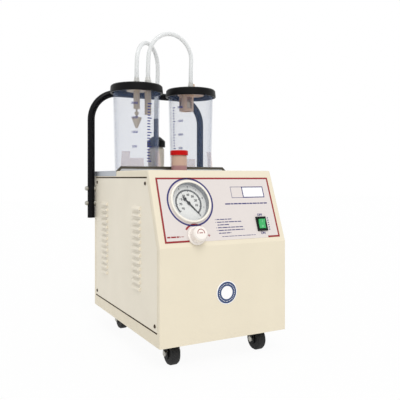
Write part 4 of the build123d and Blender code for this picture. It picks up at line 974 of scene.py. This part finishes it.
# %% Gauge pointer
POINTER_LIFT = 1.2
BLADE = 0.0008
blade = bmesh.new()
for tip, root_half, tip_half in ((0.0345, 0.0019, 0.0004), (-0.0180, 0.0017, 0.0008)):
    corners = [blade.verts.new((x, side * half, z)) for x, half in ((0, root_half), (tip, tip_half))
               for side in (-1, 1) for z in (0, BLADE)]
    bmesh.ops.convex_hull(blade, input=corners)
for across, radius, top in ((0.0, 0.0034, 0.0020), (-0.0115, 0.0038, 0.0012)):
    spun([(0, 0), (radius, 0), (radius, top * 0.7), (radius * 0.8, top), (0, top)], steps=32,
         mesh=blade, matrix=Matrix.Translation((across, 0, 0)))
bmesh.ops.transform(
    blade, matrix=on_label(*GAUGE, DIAL_DEPTH + POINTER_LIFT) @ Matrix.Rotation(
        math.radians(ZERO_AT), 4, "Z"), verts=blade.verts[:])
piece("gauge_pointer_finished", blade, black_plastic, "gauge_pointer", slot_of("gauge_pointer"),
      ("gauge_pointer",))
print("the pointer rests at", ZERO_AT, "degrees")

# %% [markdown]
# The rocker carries the two signs for on and off, printed in a paler green. They sit on the
# rocker's own halves, so they tilt with it. On is a stroke and off is a ring.

# %% Signs on the rocker
ROCKER_TILT = math.radians(10)
ROCKER_HALF_TILT = math.radians(10.4)
PIVOT_HEIGHT = 2.0
SIGN_FROM_PIVOT = 0.0054
SIGN_LIFT = 0.00245
SIGN_THICK = 0.00015
on_sign = bmesh.new()
plate(on_sign, -0.0005, 0.0005, -0.0024, 0.0024, 0.0, SIGN_THICK)
off_sign = bmesh.new()
ring(off_sign, 0.0015, 0.0023, 0.0, SIGN_THICK)
for name, mesh, side in (("rocker_on_sign", on_sign, 1), ("rocker_off_sign", off_sign, -1)):
    tilted = (on_label(ROCKER[0], ROCKER[1], PIVOT_HEIGHT) @ Matrix.Rotation(ROCKER_TILT, 4, "X")
              @ Matrix.Translation((0, side * SIGN_FROM_PIVOT, SIGN_LIFT))
              @ Matrix.Rotation(side * ROCKER_HALF_TILT, 4, "X"))
    drawing(name, mesh, pale_green_ink, tilted, "switch_rocker", "green_rocker")
print("the rocker has its two signs")

# %% [markdown]
# A dark band runs along the tray's front lip: painted shade that stands for the shaded underside
# of the lip. It follows the lip's bevelled corners and is mitred where it turns. A curve with a
# bevel would round these turns, so the bent outline is drawn as one face and pushed out to its
# thickness.

# %% Painted shade along the tray's lip
tray_low, tray_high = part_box("jar_tray")
LIP = 0.012
EDGE_UP = 0.0001
EDGE_DOWN = 0.0062
SHEET = 0.001
OVER_SHEET = 0.0013
lip_line = [(tray_low.x + 0.0006, tray_high.z - LIP + 0.0005), (tray_low.x + LIP, tray_high.z),
            (tray_high.x - LIP, tray_high.z), (tray_high.x - 0.0006, tray_high.z - LIP + 0.0005)]


def offset_line(points, distance):
    """The same bent line moved sideways, with mitred corners, in the x-z plane."""
    flat = [Vector(point) for point in points]
    runs = [(b - a).normalized() for a, b in zip(flat, flat[1:])]
    sideways = [Vector((-run.y, run.x)) for run in runs]
    moved = []
    for point, before, after in zip(flat, sideways[:1] + sideways, sideways + sideways[-1:]):
        mitre = (before + after).normalized()
        moved.append(point + mitre * (distance / mitre.dot(before)))
    return moved


lip_shade_band = bmesh.new()
outline = offset_line(lip_line, -EDGE_UP) + offset_line(lip_line, -EDGE_DOWN)[::-1]
front = lip_shade_band.faces.new([lip_shade_band.verts.new((x, tray_low.y - OVER_SHEET, z)) for x, z in outline])
pushed = bmesh.ops.extrude_face_region(lip_shade_band, geom=[front])["geom"]
bmesh.ops.translate(lip_shade_band, vec=(0, SHEET + 2 * OVER_SHEET, 0),
                    verts=[item for item in pushed if isinstance(item, bmesh.types.BMVert)])
# The band is painted shade: a dark strip where the lip's underside lies in shade.
soften(piece("tray_lip_shade", lip_shade_band, painted_lip_shade, "cabinet", "rubber"), 0.0008, 3)
print("edging is", round((lip_line[2][0] - lip_line[1][0]) / MM), "mm between its corners")

# %% [markdown]
# A round badge is stuck on the front. It is plain here: a white disc with a dark blue band, and a
# ring of dots on the band. Each layer lies a tenth of a millimetre above the last, so that no two
# faces fight for the same place.

# %% Front badge
BADGE = Vector((0, cabinet_low.y, 0.147))
DISC_TOP = 0.0010
BAND_TOP = 0.0011
DOT_TOP = 0.0012
DOT_RADIUS = 0.0009
DOTS_AT = 0.0182
DOTS = 30
FACING_FRONT = Matrix.Translation(BADGE) @ Matrix.Rotation(math.radians(90), 4, "X")
disc = spun([(0, 0), (0.0245, 0), (0.0245, 0.0007), (0.0241, DISC_TOP), (0, DISC_TOP)],
            matrix=FACING_FRONT)
piece("badge_disc", disc, white_ink, "cabinet", "label")
band = bmesh.new()
ring(band, 0.0138, 0.0226, DISC_TOP, BAND_TOP)
drawing("badge_band", band, badge_blue, FACING_FRONT, "cabinet", "label")
dots = bmesh.new()
for dot in range(DOTS):
    turn = math.tau * dot / DOTS
    spun([(0, BAND_TOP), (DOT_RADIUS, BAND_TOP), (DOT_RADIUS, DOT_TOP), (0, DOT_TOP)], steps=10,
         mesh=dots,
         matrix=Matrix.Translation((DOTS_AT * math.cos(turn), DOTS_AT * math.sin(turn), 0)))
drawing("badge_dots", dots, white_ink, FACING_FRONT, "cabinet", "label")
print("badge centre", [round(v, 4) for v in BADGE])

# %% [markdown]
# Soft sleeves hold the hoses on their ports. Those on the lids are pale and stand on the port's
# flange. The one on the trap's spout is black and reaches further down. Each is one outline spun
# about its port.

# %% Sleeves on the ports
LID_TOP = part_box("lid_left")[1].z
SPOUT_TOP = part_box("trap_cap")[1].z
SLEEVE_BORE = 0.0057
FLANGE = 0.0031
SPOUT_SLEEVE = 0.033
low = LID_TOP + FLANGE
for name, x, y, radius, height in (
        ("sleeve_link_start", JAR_LEFT.x + 0.031, JAR_LEFT.y, 0.0085, 0.022),
        ("sleeve_trap_start", JAR_LEFT.x, JAR_LEFT.y, 0.0074, 0.018),
        ("sleeve_link_end", JAR_RIGHT.x, JAR_RIGHT.y, 0.0074, 0.018)):
    sleeve = spun([(SLEEVE_BORE, low), (radius, low), (radius, low + height * 0.6),
                   (radius - 0.0008, low + height * 0.65), (0.0063, low + height),
                   (SLEEVE_BORE, low + height), (SLEEVE_BORE, low)], (x, y, 0), 64)
    piece(name, sleeve, sleeve_plastic, "lid_left", "clear_hose")
low = SPOUT_TOP - SPOUT_SLEEVE
spout_sleeve = spun([(SLEEVE_BORE, low), (0.0064, low), (0.0064, SPOUT_TOP - 0.002),
                     (0.0061, SPOUT_TOP - 0.0005), (SLEEVE_BORE, SPOUT_TOP), (SLEEVE_BORE, low)],
                    (TRAP_TOP.x, TRAP_TOP.y, 0), 64)
piece("sleeve_trap_end", spout_sleeve, black_rubber, body_of("trap_cap"), "rubber")
print("four sleeves; the trap's spout reaches", round(SPOUT_TOP, 4))

# %% [markdown]
# A dark strip lies in each side cover's gap to the cabinet, below and above. It is painted shade
# that darkens the line in the gap, so a plain block is enough. The upper strip starts further
# back, where the slope ends.

# %% Painted shade in the cover gaps
COVER_GAP = 0.0028
SHADE_STRIP_OUT = 0.0004
SLOPE_SHIFT = 0.0535
for name, face in (("left", cabinet_low.x), ("right", cabinet_high.x)):
    cover_low, cover_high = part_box("side_cover_" + name)
    strip = bmesh.new()
    for start, bottom in ((cover_low.y, cover_low.z - COVER_GAP),
                          (cover_low.y + SLOPE_SHIFT, cover_high.z)):
        plate(strip, face - SHADE_STRIP_OUT, face + SHADE_STRIP_OUT, start, cover_high.y, bottom,
              bottom + COVER_GAP)
    # The strips are painted shade that darkens the line in each gap.
    piece("cover_gap_shade_" + name, strip, painted_gap_shade, "cabinet", "rubber")
print("four foam strips")

# %% [markdown]
# Each screw has a cross for its driver. A real cut would mean meshing the heads again, so two
# dark blocks are laid into each: painted shade that stands for the dark of the recess. The screws
# are one solid group in the model, so the places are read from it: every joined island of points
# is one screw.

# %% Crosses in the screw heads
def islands(node):
    """Lowest and highest corner of each separate body in a solid's mesh."""
    mesh = bmesh.new()
    mesh.from_mesh(frame["nodes"][node].data)
    bmesh.ops.remove_doubles(mesh, verts=mesh.verts[:], dist=SAME_POINT)
    seen, found = set(), []
    for start in mesh.verts:
        if start in seen:
            continue
        group, waiting = [], [start]
        seen.add(start)
        while waiting:
            vert = waiting.pop()
            group.append(vert.co.copy())
            for edge in vert.link_edges:
                other = edge.other_vert(vert)
                if other not in seen:
                    seen.add(other)
                    waiting.append(other)
        found.append((Vector(min(co[i] for co in group) for i in range(3)),
                      Vector(max(co[i] for co in group) for i in range(3))))
    mesh.free()
    return found


UP = Vector((0, 0, 1))
CROSS_LONG = 0.0021
CROSS_THIN = 0.00035
CROSS_DEEP = 0.0006
CROSS_PROUD = 0.00006
crosses = bmesh.new()
screw_boxes = islands("cover_screws")
for low, high in screw_boxes:
    spot = (low + high) / 2
    if (high - low).x > (high - low).y:
        outward = Vector((1 if spot.x > 0 else -1, 0, 0))
        spot.x = high.x if spot.x > 0 else low.x
    else:
        outward = Vector((0, 1, 0))
        spot.y = high.y
    facing = Matrix((outward.cross(UP), UP, -outward)).transposed().to_4x4()
    for long, thin in ((CROSS_LONG, CROSS_THIN), (CROSS_THIN, CROSS_LONG)):
        slit = plate(crosses, -long, long, -thin, thin, -CROSS_PROUD, CROSS_DEEP)
        bmesh.ops.transform(crosses, matrix=Matrix.Translation(spot) @ facing, verts=slit)
# The crosses are painted shade: dark blocks where the recesses would lie in shade.
piece("screw_crosses", crosses, black_print_and_recess_shade, "cabinet", "zinc_steel", close=False)
print(len(screw_boxes), "screws have a cross")
